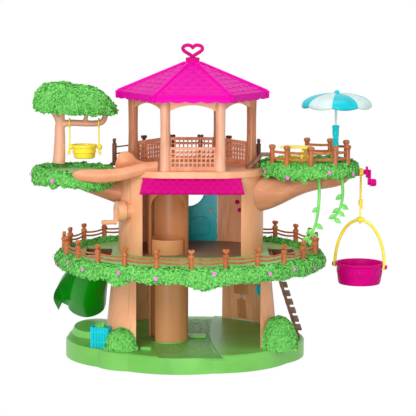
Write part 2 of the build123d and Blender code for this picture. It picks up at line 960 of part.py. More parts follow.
# Roof: a six-sided shell with an upright fascia, hollow from below
eave_top = eave_bottom + fascia_height
with BuildPart() as roof:
    for inset in (0, roof_thickness):
        for level, radius in (
            (eave_top - inset, roof_radius - inset),
            (eave_top + roof_height - inset, roof_top_radius),
        ):
            with BuildSketch(Plane.XY.offset(level)):
                with Locations(gazebo_centre):
                    RegularPolygon(radius, 6)
        loft(ruled=True, mode=Mode.SUBTRACT if inset else Mode.ADD)
        with BuildSketch(Plane.XY.offset(eave_bottom)):
            with Locations(gazebo_centre):
                RegularPolygon(roof_radius - inset, 6)
        extrude(amount=fascia_height - inset, mode=Mode.SUBTRACT if inset else Mode.ADD)
finish(roof, "roof")

# Finial: a fluted cap under an open heart
finial_bottom = eave_top + roof_height
with BuildPart() as roof_finial:
    add(rod((*gazebo_centre, finial_bottom), (*gazebo_centre, finial_bottom + finial_cap_height), finial_cap_radius))
    heart_level = finial_bottom + finial_cap_height - 1
    heart_plane = Plane(origin=(*gazebo_centre, heart_level), x_dir=(1, 0, 0), z_dir=(0, -1, 0))
    with BuildSketch(heart_plane):
        add(heart(heart_width, heart_height))
        with Locations((0, heart_bar)):
            add(heart(heart_width - 2 * heart_bar, heart_height - 2 * heart_bar), mode=Mode.SUBTRACT)
    extrude(amount=heart_thickness / 2, both=True)
finish(roof_finial, "roof_finial")

# Back balcony: a half oval floor behind the top floor, with heart posts and one rail
balcony_centre = (gazebo_centre[0] + balcony_shift, balcony_start)
with BuildPart() as balcony_floor:
    with BuildSketch(Plane.XY.offset(gazebo_floor - balcony_thickness)):
        with Locations(balcony_centre):
            Ellipse(balcony_half_width, balcony_reach)
        with Locations((balcony_centre[0], balcony_start - far / 2)):
            Rectangle(far, far, mode=Mode.SUBTRACT)
    extrude(amount=balcony_thickness)
    add(top_floor.part, mode=Mode.SUBTRACT)
finish(balcony_floor, "balcony_floor")

with BuildPart() as balcony_fence:
    widest = cos(radians(balcony_first_angle))
    angles = [degrees(acos(widest * (1 - 2 * index / (balcony_posts - 1)))) for index in range(balcony_posts)]
    post_line = (balcony_half_width - balcony_post_inset, balcony_reach - balcony_post_inset)
    spots = [on_ellipse(balcony_centre, *post_line, angle) for angle in angles]
    for angle, spot in zip(angles, spots):
        add(heart_post(*spot, gazebo_floor, angle, balcony_post_height))
    for first, last in zip(spots, spots[1:]):
        for height in balcony_rail_heights:
            level = gazebo_floor + height
            add(bar((*first, level), (*last, level), fence_rail, fence_rail))
finish(balcony_fence, "balcony_fence")

# Branches that carry the side platforms
with BuildPart() as left_branch:
    add(branch(left_branch_stations, left_branch_y))
    add(upper_block(0), mode=Mode.SUBTRACT)
finish(left_branch, "left_branch")

with BuildPart() as right_branch:
    add(branch(right_branch_stations, right_branch_y))
    add(upper_block(0), mode=Mode.SUBTRACT)
finish(right_branch, "right_branch")

# Left platform: an oval floor in a leafy rim that steps down where the chute comes in
half_rim = leaf_rim_width / 2
with BuildPart() as left_platform_floor:
    with BuildSketch(Plane.XY.offset(left_floor_bottom)):
        with Locations(left_centre):
            Ellipse(left_half_width - leaf_rim_width, left_half_depth - leaf_rim_width)
    extrude(amount=left_floor_thickness)
finish(left_platform_floor, "left_platform_floor")

with BuildPart() as left_platform_rim:
    add(
        elliptic_ring(
            left_centre,
            left_half_width - half_rim,
            left_half_depth - half_rim,
            half_rim,
            half_rim,
            left_rim_bottom,
            left_rim_top,
        )
    )
    add(box((left_step_left, -far, left_step_top), (far, left_step_back, far)), mode=Mode.SUBTRACT)
    add(left_branch.part, mode=Mode.SUBTRACT)
    add(top_floor.part, mode=Mode.SUBTRACT)
    add(upper_block(0), mode=Mode.SUBTRACT)
finish(left_platform_rim, "left_platform_rim")

# Tree: trunk, fork, and a limb with two eyes for the swing
left_floor_top = left_floor_bottom + left_floor_thickness
limb_z = tree_fork_height
swing_pivot_z = limb_z - swing_pivot_drop
with BuildPart() as tree_trunk:
    with BuildSketch(Plane.XY.offset(left_floor_top)):
        with Locations((tree_x, tree_y)):
            Circle(tree_foot_radius)
    with BuildSketch(Plane.XY.offset(limb_z)):
        with Locations((tree_x + tree_lean, tree_y)):
            Circle(tree_top_radius)
    loft()
    add(rod((tree_x + tree_lean, tree_y, limb_z - 4), (tree_x + tree_lean, tree_y, canopy_bottom - seat_gap),
            tree_top_radius))
    add(rod((tree_x + 1, tree_y, limb_z - 8), (tree_x - 14, tree_y, canopy_bottom - 3), limb_radius - 1))
    add(rod((tree_x, tree_y, limb_z), (limb_end_x, tree_y, limb_z), limb_radius))
    add(rod((limb_end_x - limb_radius, tree_y, limb_z), (limb_end_x - limb_radius, tree_y, canopy_bottom - seat_gap),
            limb_radius))
    for x in (swing_left_x, swing_right_x):
        inner = x + swing_eye_width / 2 + pin_gap
        with BuildSketch(Plane.YZ.offset(inner)):
            with Locations((tree_y, swing_pivot_z + swing_pivot_drop / 2)):
                Rectangle(2 * swing_eye_radius, swing_pivot_drop + 2 * swing_pin_radius)
        extrude(amount=swing_lug_thickness)
        add(rod((inner, tree_y, swing_pivot_z), (x - swing_eye_width / 2 - pin_gap, tree_y, swing_pivot_z),
                swing_pin_radius))
finish(tree_trunk, "tree_trunk")

with BuildPart() as tree_canopy:
    for level, share in ((canopy_bottom, 0.86), (canopy_bottom + 14, 1), (canopy_bottom + 36, 0.84), (canopy_top, 0.55)):
        with BuildSketch(Plane.XY.offset(level)):
            with Locations(canopy_centre):
                Ellipse(share * canopy_half_width, share * canopy_half_depth)
    loft(ruled=True)
finish(tree_canopy, "tree_canopy")

# Swing: a tub between two straps that hang from the limb's eyes
tub_centre_x = (swing_left_x + swing_right_x) / 2
tub_bottom = swing_tub_top - swing_tub_height
with BuildPart() as swing:
    for inset, low in ((0, tub_bottom), (swing_tub_wall, tub_bottom + swing_tub_wall)):
        with BuildSketch(Plane.XY.offset(low)):
            with Locations((tub_centre_x, tree_y)):
                Circle(swing_tub_bottom_radius - inset)
        with BuildSketch(Plane.XY.offset(swing_tub_top)):
            with Locations((tub_centre_x, tree_y)):
                Circle(swing_tub_radius - inset)
        loft(mode=Mode.ADD if inset == 0 else Mode.SUBTRACT)
    for x in (swing_left_x, swing_right_x):
        inward = 1 if x < tub_centre_x else -1
        reach = tub_centre_x - inward * (swing_tub_radius - swing_tub_wall / 2)
        add(bar((x - inward * swing_strap, tree_y, swing_tub_top - 3), (reach, tree_y, swing_tub_top - 3),
                2 * swing_strap, 6))
        add(bar((x, tree_y, swing_tub_top - 3), (x, tree_y, swing_pivot_z), swing_strap, swing_strap))
        add(rod((x - swing_eye_width / 2, tree_y, swing_pivot_z), (x + swing_eye_width / 2, tree_y, swing_pivot_z),
                swing_eye_radius))
        with BuildSketch(Plane.YZ.offset(x - swing_eye_width)):
            with Locations((tree_y, swing_pivot_z)):
                Circle(swing_pin_radius + pin_gap)
        extrude(amount=2 * swing_eye_width, mode=Mode.SUBTRACT)
finish(swing, "swing")

# Bark chute: a sloping floor between a long near wall and a short far wall
with BuildPart() as bark_chute:
    chute_floor_right = gazebo_floor + seat_gap
    chute_floor_left = left_floor_top + seat_gap
    with BuildSketch(Plane.XZ.offset(-chute_near_y)):
        with BuildLine():
            Polyline(
                (chute_right_x, chute_floor_right),
                (chute_bend_x, chute_floor_right),
                (chute_left_x, chute_floor_left),
                (chute_left_x, chute_floor_left + chute_floor_thickness),
                (chute_bend_x, chute_floor_right + chute_floor_thickness),
                (chute_right_x, chute_floor_right + chute_floor_thickness),
                close=True,
            )
        make_face()
    extrude(amount=-chute_width)
    with BuildSketch(Plane.XZ.offset(-chute_near_y)):
        with BuildLine():
            Polyline(
                (chute_right_x, chute_floor_right),
                (chute_right_x - 36, chute_floor_right),
                (chute_right_x - 56, chute_floor_right - 12),
                (chute_right_x - 93, chute_floor_right - 19),
                (chute_right_x - 117, left_step_top + seat_gap),
                (chute_left_x, left_step_top + 6),
                (chute_left_x - 4, left_step_top + 11),
                (chute_left_x, left_step_top + 15),
                (chute_right_x - 78, chute_floor_right + 10),
                (chute_right_x - 26, chute_floor_right + chute_wall_height - 3),
                (chute_right_x, chute_floor_right + chute_wall_height),
                close=True,
            )
        make_face()
    extrude(amount=-chute_wall)
    with BuildSketch(Plane.XZ.offset(-chute_near_y - chute_width)):
        far_length = chute_right_x - chute_far_left_x
        with Locations(((chute_right_x + chute_far_left_x) / 2, chute_floor_right + chute_wall_height / 2)):
            Rectangle(far_length, chute_wall_height)
        with Locations((chute_far_left_x + chute_far_bump, chute_floor_right + chute_wall_height)):
            Circle(chute_far_bump)
    extrude(amount=chute_wall)
finish(bark_chute, "bark_chute")

# Right platform: an oval floor in a leafy rim
bracket_end = winch_drum_left - seat_gap - 0.2
with BuildPart() as right_platform_floor:
    with BuildSketch(Plane.XY.offset(right_floor_bottom)):
        with Locations(right_centre):
            Ellipse(right_half_width - leaf_rim_width, right_half_depth - leaf_rim_width)
    extrude(amount=right_floor_thickness)
finish(right_platform_floor, "right_platform_floor")

# Winch bracket: a socket that grows out of the right rim
with BuildPart() as winch_bracket:
    with BuildSketch(Plane.YZ.offset(bracket_start)):
        with Locations((winch_y, winch_axis_z)):
            Rectangle(2 * bracket_half_width, 2 * bracket_half_height)
    extrude(amount=bracket_end - bracket_start)
    add(right_branch.part, mode=Mode.SUBTRACT)
    with BuildSketch(Plane.YZ.offset(bracket_end)):
        with Locations((winch_y, winch_axis_z)):
            Circle(winch_axle_radius + pin_gap)
    extrude(amount=-winch_axle_depth - pin_gap, mode=Mode.SUBTRACT)
finish(winch_bracket, "winch_bracket")

with BuildPart() as right_platform_rim:
    add(
        elliptic_ring(
            right_centre,
            right_half_width - half_rim,
            right_half_depth - half_rim,
            half_rim,
            half_rim,
            right_rim_bottom,
            right_rim_top,
        )
    )
    add(right_branch.part, mode=Mode.SUBTRACT)
    add(top_floor.part, mode=Mode.SUBTRACT)
    add(upper_block(0), mode=Mode.SUBTRACT)
    add(box((bracket_start, winch_y - bracket_half_width, winch_axis_z - bracket_half_height),
            (far, winch_y + bracket_half_width, winch_axis_z + bracket_half_height)), mode=Mode.SUBTRACT)
finish(right_platform_rim, "right_platform_rim")

# Right fence: round-capped posts along the rim with two flat rails, open at the back left
with BuildPart() as right_fence:
    line = (right_half_width - half_rim, right_half_depth - half_rim)
    spots = [on_ellipse(right_centre, *line, angle) for angle in right_fence_angles]
    for spot in spots:
        add(rod((*spot, right_rim_top), (*spot, right_rim_top + rail_post_height), rail_post_radius))
        add(rod((*spot, right_rim_top + rail_post_height), (*spot, right_rim_top + rail_post_height + 4),
                rail_post_cap_radius))
    for first, last in zip(spots, spots[1:]):
        for level in rail_levels:
            add(bar((*first, right_rim_top + level), (*last, right_rim_top + level), rail_thickness, rail_height))
finish(right_fence, "right_fence")

# Picnic table: top, two benches, splayed legs and cross bearers
right_floor_top = right_floor_bottom + right_floor_thickness
table_plane = turned_plane(table_centre, table_turn, right_floor_top)
with BuildPart() as picnic_table:
    half_length = table_length / 2
    add(turned_box(table_plane, (-half_length, -table_width / 2, table_top_height - table_thickness),
                   (half_length, table_width / 2, table_top_height)))
    for side in (-1, 1):
        middle = side * bench_offset
        add(turned_box(table_plane, (-half_length, middle - bench_width / 2, bench_height - table_thickness),
                       (half_length, middle + bench_width / 2, bench_height)))
        end = side * (half_length - table_end_inset)
        add(turned_box(table_plane, (end - table_leg / 2, -bench_offset, bench_height - 2 * table_thickness),
                       (end + table_leg / 2, bench_offset, bench_height - table_thickness)))
        for lean in (-1, 1):
            foot = table_plane.from_local_coords(Vector(end, lean * (bench_offset - 4), 0.5))
            head = table_plane.from_local_coords(Vector(end, lean * 4, table_top_height - table_thickness))
            add(bar(tuple(foot), tuple(head), table_leg, table_leg))
    add(turned_box(table_plane, (-far, -far, -far), (far, far, seat_gap)), mode=Mode.SUBTRACT)
finish(picnic_table, "picnic_table")

# Umbrella: a fixed post with a tongue, and a tilting fork, rod and canopy
knuckle = umbrella_knuckle_height
with BuildPart() as umbrella_post:
    add(rod((umbrella_x, umbrella_y, right_floor_top), (umbrella_x, umbrella_y, knuckle - umbrella_fork_reach),
            umbrella_post_radius))
    with BuildSketch(Plane.XZ.offset(-umbrella_y - umbrella_tongue / 2)):
        with Locations((umbrella_x, knuckle - umbrella_fork_reach / 2 - 0.5)):
            Rectangle(2 * umbrella_tongue_radius, umbrella_fork_reach + 1)
        with Locations((umbrella_x, knuckle)):
            Circle(umbrella_tongue_radius)
            Circle(umbrella_pin_radius + pin_gap, mode=Mode.SUBTRACT)
    extrude(amount=umbrella_tongue)
finish(umbrella_post, "umbrella_post")

rod_top = umbrella_rim + umbrella_dome_height - umbrella_thickness - 0.2
with BuildPart() as umbrella_pole:
    socket_low = knuckle + umbrella_tongue_radius + 1
    add(rod((umbrella_x, umbrella_y, socket_low), (umbrella_x, umbrella_y, socket_low + umbrella_socket_length),
            umbrella_post_radius))
    add(rod((umbrella_x, umbrella_y, socket_low + umbrella_socket_length - 1), (umbrella_x, umbrella_y, rod_top),
            umbrella_rod_radius))
    for side in (-1, 1):
        inner = umbrella_y + side * (umbrella_tongue / 2 + pin_gap)
        outer = umbrella_y + side * umbrella_post_radius
        with BuildSketch(Plane.XZ.offset(-inner)):
            with Locations((umbrella_x, knuckle)):
                Circle(umbrella_tongue_radius)
            with Locations((umbrella_x, (knuckle + socket_low + 1) / 2)):
                Rectangle(1.6 * umbrella_tongue_radius, socket_low + 1 - knuckle)
        extrude(amount=inner - outer)
    add(rod((umbrella_x, umbrella_y - umbrella_tongue, knuckle), (umbrella_x, umbrella_y + umbrella_tongue, knuckle),
            umbrella_pin_radius))
finish(umbrella_pole, "umbrella_pole")

with BuildPart() as umbrella_canopy:
    apex = umbrella_rim + umbrella_dome_height
    for inset in (0, umbrella_thickness):
        with BuildSketch(Plane.XZ):
            with BuildLine():
                crown = (0, apex - inset)
                shoulder = (0.6 * umbrella_radius, umbrella_rim + 0.72 * umbrella_dome_height - inset)
                edge = (umbrella_radius - inset, umbrella_rim)
                ThreePointArc(crown, shoulder, edge)
                Polyline(edge, (0, umbrella_rim), crown)
            make_face()
        revolve(axis=Axis.Z, mode=Mode.SUBTRACT if inset else Mode.ADD)
    add(rod((0, 0, apex - 0.5), (0, 0, apex + umbrella_knob_radius), umbrella_knob_radius))
umbrella_canopy.part = umbrella_canopy.part.moved(Location((umbrella_x, umbrella_y, 0)))
finish(umbrella_canopy, "umbrella_canopy")

# Winch: axle, drum, flange, arm and knob on one axis along X
with BuildPart() as winch_drum:
    arm_low = winch_drum_right + winch_flange_thickness
    for low, high, radius in (
        (bracket_end - winch_axle_depth, winch_drum_left + 1, winch_axle_radius),
        (winch_drum_left, winch_drum_right, winch_drum_radius),
        (winch_drum_right, arm_low, winch_flange_radius),
    ):
        add(rod((low, winch_y, winch_axis_z), (high, winch_y, winch_axis_z), radius))
    with BuildSketch(Plane.YZ.offset(arm_low)):
        with Locations((winch_y, winch_axis_z - winch_crank_reach / 2)):
            SlotCenterToCenter(winch_crank_reach, winch_arm_width, rotation=90)
    extrude(amount=winch_arm_thickness)
    knob_low = arm_low + winch_arm_thickness - 1
    with BuildSketch(Plane.YZ.offset(knob_low)):
        with Locations((winch_y, winch_axis_z - winch_crank_reach)):
            Circle(winch_knob_radius)
    extrude(amount=winch_knob_length)
    fillet(winch_drum.edges().sort_by(Axis.X)[-1], 0.5 * winch_knob_radius)
finish(winch_drum, "winch_drum")

# Hoist rope: the stretch between the drum and the knot
rope_y = winch_y
rope_top = winch_axis_z - winch_drum_radius - seat_gap
with BuildPart() as hoist_rope:
    add(rod((rope_x, rope_y, rope_bottom + seat_gap), (rope_x, rope_y, rope_top), rope_radius))
finish(hoist_rope, "hoist_rope")

# Hook: a knot, a shank and a ring under the bail
bail_direction = (cos(radians(-basket_turn)), sin(radians(-basket_turn)), 0)
bail_side = (-bail_direction[1], bail_direction[0], 0)
hook_ring_inner = bail_bar_radius + hook_slack
ring_centre = bail_top + hook_slack - seat_gap
ring_radius = hook_ring_inner + hook_bar_radius
with BuildPart() as hoist_hook:
    with Locations((rope_x, rope_y, rope_bottom - knot_radius)):
        Sphere(knot_radius)
    add(rod((rope_x, rope_y, rope_bottom - 2 * knot_radius), (rope_x, rope_y, rope_bottom), rope_radius + 0.6))
    add(rod((rope_x, rope_y, ring_centre + ring_radius - 0.5), (rope_x, rope_y, rope_bottom - knot_radius),
            hook_bar_radius))
    with Locations(Plane(origin=(rope_x, rope_y, ring_centre), z_dir=bail_direction)):
        Torus(ring_radius, hook_bar_radius)
finish(hoist_hook, "hoist_hook")

# Bail: a round bar bent over the basket, with an eye at each end
bail_rise = bail_top - bail_pivot_height
with BuildPart() as basket_bail:
    bail_plane = Plane(
        origin=(rope_x, rope_y, bail_pivot_height),
        x_dir=bail_direction,
        z_dir=(-bail_side[0], -bail_side[1], 0),
    )
    with BuildLine(bail_plane) as bail_path:
        EllipticalCenterArc((0, 0), bail_half_width, bail_rise, start_angle=0, arc_size=180)
    with BuildSketch(Plane(origin=bail_path.line @ 0, z_dir=bail_path.line % 0)):
        Circle(bail_bar_radius)
    sweep()
    for side in (-1, 1):
        eye_plane = Plane(
            origin=bail_plane.from_local_coords(Vector(side * (bail_half_width - bail_eye_thickness / 2), 0, 0)),
            z_dir=tuple(side * value for value in bail_direction),
        )
        with BuildSketch(eye_plane):
            Circle(bail_eye_radius)
        extrude(amount=bail_eye_thickness)
        with BuildSketch(eye_plane.offset(-bail_eye_thickness)):
            Circle(bail_pin_radius + pin_gap)
        extrude(amount=3 * bail_eye_thickness, mode=Mode.SUBTRACT)
finish(basket_bail, "basket_bail")

# Basket: a tapered tub with two pins below its rim
with BuildPart() as basket:
    for inset, low in ((0, basket_rim - basket_height), (basket_wall, basket_rim - basket_height + basket_wall)):
        with BuildSketch(Plane.XY.offset(low)):
            with Locations((rope_x, rope_y)):
                Circle(basket_bottom_radius - inset)
        with BuildSketch(Plane.XY.offset(basket_rim)):
            with Locations((rope_x, rope_y)):
                Circle(basket_radius - inset)
        loft(mode=Mode.ADD if inset == 0 else Mode.SUBTRACT)
    for side in (-1, 1):
        first = bail_plane.from_local_coords(Vector(side * (basket_radius - basket_wall), 0, 0))
        last = bail_plane.from_local_coords(Vector(side * (bail_half_width + bail_eye_thickness), 0, 0))
        add(rod(tuple(first), tuple(last), bail_pin_radius))
finish(basket, "basket")

# Vines: two hanging stems under the right platform
with BuildPart() as vines:
    for route in vine_routes:
        with BuildLine() as stem:
            Spline(*route)
        with BuildSketch(Plane(origin=stem.line @ 0, z_dir=stem.line % 0)):
            Circle(vine_radius)
        sweep(path=stem.line)
finish(vines, "vines")

# Stile: a stepped ramp from the gazebo floor over the right rim
with BuildPart() as stile:
    ridge = gazebo_floor + stile_rise
    with BuildSketch(Plane.XZ.offset(-stile_y - stile_width / 2)):
        with BuildLine():
            Polyline(
                (stile_foot_x, gazebo_floor + seat_gap),
                (stile_foot_x + 2 * stile_thickness, gazebo_floor + seat_gap),
                (stile_ridge_x + 1, ridge - stile_thickness),
                (stile_end_x - stile_thickness, ridge - stile_thickness),
                (stile_end_x - stile_thickness, right_rim_top + seat_gap),
                (stile_end_x, right_rim_top + seat_gap),
                (stile_end_x, ridge),
                (stile_ridge_x, ridge),
                close=True,
            )
        make_face()
    extrude(amount=stile_width)
finish(stile, "stile")

# Ladder: two leaning rails with level treads that stick out in front
with BuildPart() as ladder:
    ladder_rise = deck_top - base_top
    ladder_top_x = lower_right_x - lower_taper + ladder_wall_gap
    ladder_foot_x = ladder_top_x + ladder_reach
    for side in (-1, 1):
        y = ladder_y + side * (ladder_width - ladder_rail) / 2
        add(bar((ladder_foot_x, y, base_top), (ladder_top_x, y, deck_top), ladder_rail, ladder_rail))
    for index in range(ladder_treads):
        share = (index + 1) / (ladder_treads + 1)
        x = ladder_foot_x + share * (ladder_top_x - ladder_foot_x)
        z = base_top + share * ladder_rise
        add(box((x - ladder_rail / 2, ladder_y - ladder_width / 2, z - ladder_tread_thickness / 2),
                (x - ladder_rail / 2 + ladder_tread_depth, ladder_y + ladder_width / 2,
                 z + ladder_tread_thickness / 2)))
    add(box((-far, -far, -far), (far, far, base_top + seat_gap)), mode=Mode.SUBTRACT)
    add(box((-far, -far, deck_top), (far, far, far)), mode=Mode.SUBTRACT)
finish(ladder, "ladder")

# Slide: a rounded trough that drops from the left hatch to the landing behind
slide_floors = [station[2] for station in slide_stations]
with BuildPart() as green_slide:
    for offset, y, floor, half_width, wall in slide_stations:
        x = lower_left_x - offset
        with BuildSketch(Plane(origin=(x, y, floor), x_dir=(1, 0, 0), z_dir=(0, -1, 0))):
            with BuildLine():
                outer = half_width
                inner = half_width - slide_wall
                ThreePointArc((-outer, wall), (0, -slide_wall), (outer, wall))
                Line((outer, wall), (inner, wall))
                ThreePointArc((inner, wall), (0, 0), (-inner, wall))
                Line((-inner, wall), (-outer, wall))
            make_face()
    loft()
finish(green_slide, "green_slide")

# Planter: an open box with a plant inside
planter_plane = turned_plane((lower_left_x - planter_wall_offset, planter_y), planter_turn, base_top + seat_gap)
with BuildPart() as planter:
    half_w = planter_width / 2
    half_d = planter_depth / 2
    add(turned_box(planter_plane, (-half_w, -half_d, 0), (half_w, half_d, planter_height)))
    add(
        turned_box(
            planter_plane,
            (-half_w + planter_wall, -half_d + planter_wall, planter_wall),
            (half_w - planter_wall, half_d - planter_wall, planter_height + 1),
        ),
        mode=Mode.SUBTRACT,
    )
    with Locations(planter_plane.offset(planter_soil)):
        Cylinder(half_d - planter_wall - seat_gap, planter_height, align=(Align.CENTER, Align.CENTER, Align.MIN))
finish(planter, "planter")
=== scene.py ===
"""Looks of the moulded toy tree house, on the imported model's frame. +Z up, front toward -Y.

Corners are worked out in millimetres and put() turns them into metres.
"""

import math

import bmesh
import bpy
import numpy as np
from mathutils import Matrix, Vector


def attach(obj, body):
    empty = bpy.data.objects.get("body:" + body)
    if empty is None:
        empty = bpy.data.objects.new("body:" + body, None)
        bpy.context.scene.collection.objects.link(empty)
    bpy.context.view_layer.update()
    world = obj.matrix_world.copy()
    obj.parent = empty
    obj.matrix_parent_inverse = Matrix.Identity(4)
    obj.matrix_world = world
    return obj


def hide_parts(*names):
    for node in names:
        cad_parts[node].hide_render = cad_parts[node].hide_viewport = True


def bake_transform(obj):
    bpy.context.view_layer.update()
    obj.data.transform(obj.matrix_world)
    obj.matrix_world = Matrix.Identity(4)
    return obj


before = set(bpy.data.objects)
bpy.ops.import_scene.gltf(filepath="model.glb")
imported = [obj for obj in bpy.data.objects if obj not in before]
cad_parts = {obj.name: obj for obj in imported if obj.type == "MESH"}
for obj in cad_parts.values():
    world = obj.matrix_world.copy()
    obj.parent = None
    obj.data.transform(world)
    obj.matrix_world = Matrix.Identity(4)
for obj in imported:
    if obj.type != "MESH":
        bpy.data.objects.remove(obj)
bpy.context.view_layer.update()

# Camera: a long lens a little above the deck, fitted to the fence posts and the roof corners
camera_place = Vector((-0.0208, -2.942, 0.638))
camera_target = Vector((0.0304, 0, 0.238))
camera_roll = math.radians(0.28)
camera_data = bpy.data.cameras.new("camera")
camera_data.lens = 159.7
camera_data.sensor_width = 36
camera_data.clip_end = 20
camera = bpy.data.objects.new("camera", camera_data)
bpy.context.scene.collection.objects.link(camera)
camera.location = camera_place
camera.rotation_euler = (camera_target - camera_place).to_track_quat("-Z", "Y").to_euler()
camera.rotation_euler.rotate_axis("Z", camera_roll)
bpy.context.scene.camera = camera

# Background: white to the camera and in reflections, and a softer grey-white light on the object
def feed(tree, node, inputs):
    """Gives each named input of a node its value, or a link where that is another node's output."""
    for name, value in inputs.items():
        if isinstance(value, bpy.types.NodeSocket):
            tree.links.new(value, node.inputs[name])
        else:
            node.inputs[name].default_value = value


def add_node(tree, kind, inputs, **settings):
    """Adds a node, whose own settings are made before its inputs are fed."""
    node = tree.nodes.new(kind)
    for name, value in settings.items():
        setattr(node, name, value)
    feed(tree, node, inputs)
    return node


world = bpy.data.worlds.new("studio")
bpy.context.scene.world = world
world.use_nodes = True
tree = world.node_tree
tree.nodes.clear()
shown = add_node(tree, "ShaderNodeBackground", {"Color": (1, 1, 1, 1)})
lit = add_node(tree, "ShaderNodeBackground", {"Color": (0.96, 0.98, 1, 1), "Strength": 0.48})
rays = add_node(tree, "ShaderNodeLightPath", {}).outputs
seen = rays["Is Camera Ray"]
for kind in ("Is Glossy Ray", "Is Transmission Ray"):
    seen = add_node(tree, "ShaderNodeMath", {0: seen, 1: rays[kind]}, operation="MAXIMUM").outputs[0]
pick = add_node(tree, "ShaderNodeMixShader", {"Fac": seen, 1: lit.outputs[0], 2: shown.outputs[0]})
add_node(tree, "ShaderNodeOutputWorld", {"Surface": pick.outputs[0]})
bpy.context.scene.view_settings.view_transform = "Standard"

# Lights: a soft key above the camera's left, a low one that reaches into the rooms, a fill and a top light
for name, place, size, watts in (
    ("key", (-0.9, -2.0, 1.3), 0.9, 24),
    ("front", (-0.3, -2.6, 0.3), 0.8, 24),
    ("fill", (1.8, -1.2, 0.7), 1.2, 8),
    ("top", (0.1, 0.1, 2.1), 1.2, 9.5),
):
    data = bpy.data.lights.new(name, "AREA")
    data.energy = watts
    data.size = size
    lamp = bpy.data.objects.new(name, data)
    lamp.location = place
    lamp.rotation_euler = (Vector((0, 0, 0.25)) - Vector(place)).to_track_quat("-Z", "Y").to_euler()
    bpy.context.scene.collection.objects.link(lamp)

# Moulded plastic: every piece is one of a few coloured plastics. Cloudy flow marks and bark folds come
# from one node group that gives values; plastic() mixes two tones by them, darkens the fold grooves as
# painted shade, and holds the shader itself.
effect = bpy.data.node_groups.new("flow_marks", "ShaderNodeTree")
for name, value in (("Scale", 30.0), ("Stretch", 0.3), ("Distortion", 0.6)):
    socket = effect.interface.new_socket(name=name, in_out="INPUT", socket_type="NodeSocketFloat")
    socket.default_value = value
for name in ("Marks", "Folds"):
    effect.interface.new_socket(name=name, in_out="OUTPUT", socket_type="NodeSocketFloat")
entry = add_node(effect, "NodeGroupInput", {}).outputs
place = add_node(effect, "ShaderNodeTexCoord", {}).outputs["Object"]
stretch = add_node(effect, "ShaderNodeCombineXYZ", {"X": 1, "Y": 1, "Z": entry["Stretch"]})
drawn = add_node(effect, "ShaderNodeVectorMath", {0: place, 1: stretch.outputs[0]}, operation="MULTIPLY")
cloud = add_node(effect, "ShaderNodeTexNoise", {
    "Vector": drawn.outputs[0],
    "Scale": entry["Scale"],
    "Detail": 3,
    "Distortion": entry["Distortion"],
}).outputs["Fac"]
middle = add_node(effect, "ShaderNodeMath", {0: cloud, 1: 0.5}, operation="SUBTRACT")
folded = add_node(effect, "ShaderNodeMath", {0: middle.outputs[0]}, operation="ABSOLUTE")
groove = add_node(effect, "ShaderNodeMapRange", {
    "Value": folded.outputs[0],
    "From Max": 0.03,
    "To Min": 0.35,
}, interpolation_type="SMOOTHSTEP")
add_node(effect, "NodeGroupOutput", {"Marks": cloud, "Folds": groove.outputs["Result"]})


def linear(colour):
    """A screen colour, from 0 to 255, as linear light."""
    return [((value / 255 + 0.055) / 1.055) ** 2.4 for value in colour] + [1]


def plastic(name, light, dark, rough=0.36, scale=26, stretch=0.35, folds=0, folds_scale=42,
            folds_stretch=0.11, glow=0.05, soften=0.0006, tone=None, shine=0.35):
    """A moulded plastic: two tones mixed by flow marks or by a tone attribute that carries painted shade,
    pebble, folds with painted shade in their grooves, soft edges.
    """
    material = bpy.data.materials.new(name)
    material.use_nodes = True
    tree = material.node_tree
    shader = tree.nodes["Principled BSDF"]
    marks = add_node(tree, "ShaderNodeGroup", {"Scale": scale, "Stretch": stretch}, node_tree=effect)
    flow = marks.outputs["Marks"]
    mixed = add_node(tree, "ShaderNodeAttribute", {}, attribute_name=tone).outputs["Fac"] if tone else flow
    ramp = add_node(tree, "ShaderNodeValToRGB", {"Fac": mixed})
    ramp.color_ramp.elements[0].position = 0.3
    ramp.color_ramp.elements[0].color = linear(dark)
    ramp.color_ramp.elements[1].position = 0.7
    ramp.color_ramp.elements[1].color = linear(light)
    colour = ramp.outputs["Color"]
    rougher = add_node(tree, "ShaderNodeMapRange", {
        "Value": flow,
        "To Min": rough - 0.07,
        "To Max": rough + 0.09,
    })
    edge = add_node(tree, "ShaderNodeBevel", {"Radius": soften}, samples=3)
    where = add_node(tree, "ShaderNodeTexCoord", {}).outputs["Object"]
    pebble = add_node(tree, "ShaderNodeTexNoise", {"Vector": where, "Scale": 900})
    relief = add_node(tree, "ShaderNodeBump", {
        "Strength": 0.05,
        "Distance": 0.0003,
        "Height": pebble.outputs["Fac"],
        "Normal": edge.outputs["Normal"],
    })
    if folds > 0:
        bark = add_node(tree, "ShaderNodeGroup", {
            "Scale": folds_scale,
            "Stretch": folds_stretch,
            "Distortion": 1.2,
        }, node_tree=effect).outputs["Folds"]
        # Painted shade: the fold grooves are darkened toward 0.84 of the dark tone.
        groove_shade = [0.84 * value for value in linear(dark)[:3]] + [1]
        shade = add_node(tree, "ShaderNodeMix", {"Factor": bark, "A": groove_shade, "B": colour}, data_type="RGBA")
        colour = shade.outputs["Result"]
        relief = add_node(tree, "ShaderNodeBump", {
            "Strength": folds,
            "Distance": 0.001,
            "Height": bark,
            "Normal": relief.outputs["Normal"],
        })
    feed(tree, shader, {
        "Base Color": colour,
        "Roughness": rougher.outputs["Result"],
        "Normal": relief.outputs["Normal"],
        "Specular IOR Level": shine,
        "Subsurface Weight": glow,
        "Subsurface Scale": 0.004,
    })
    return material
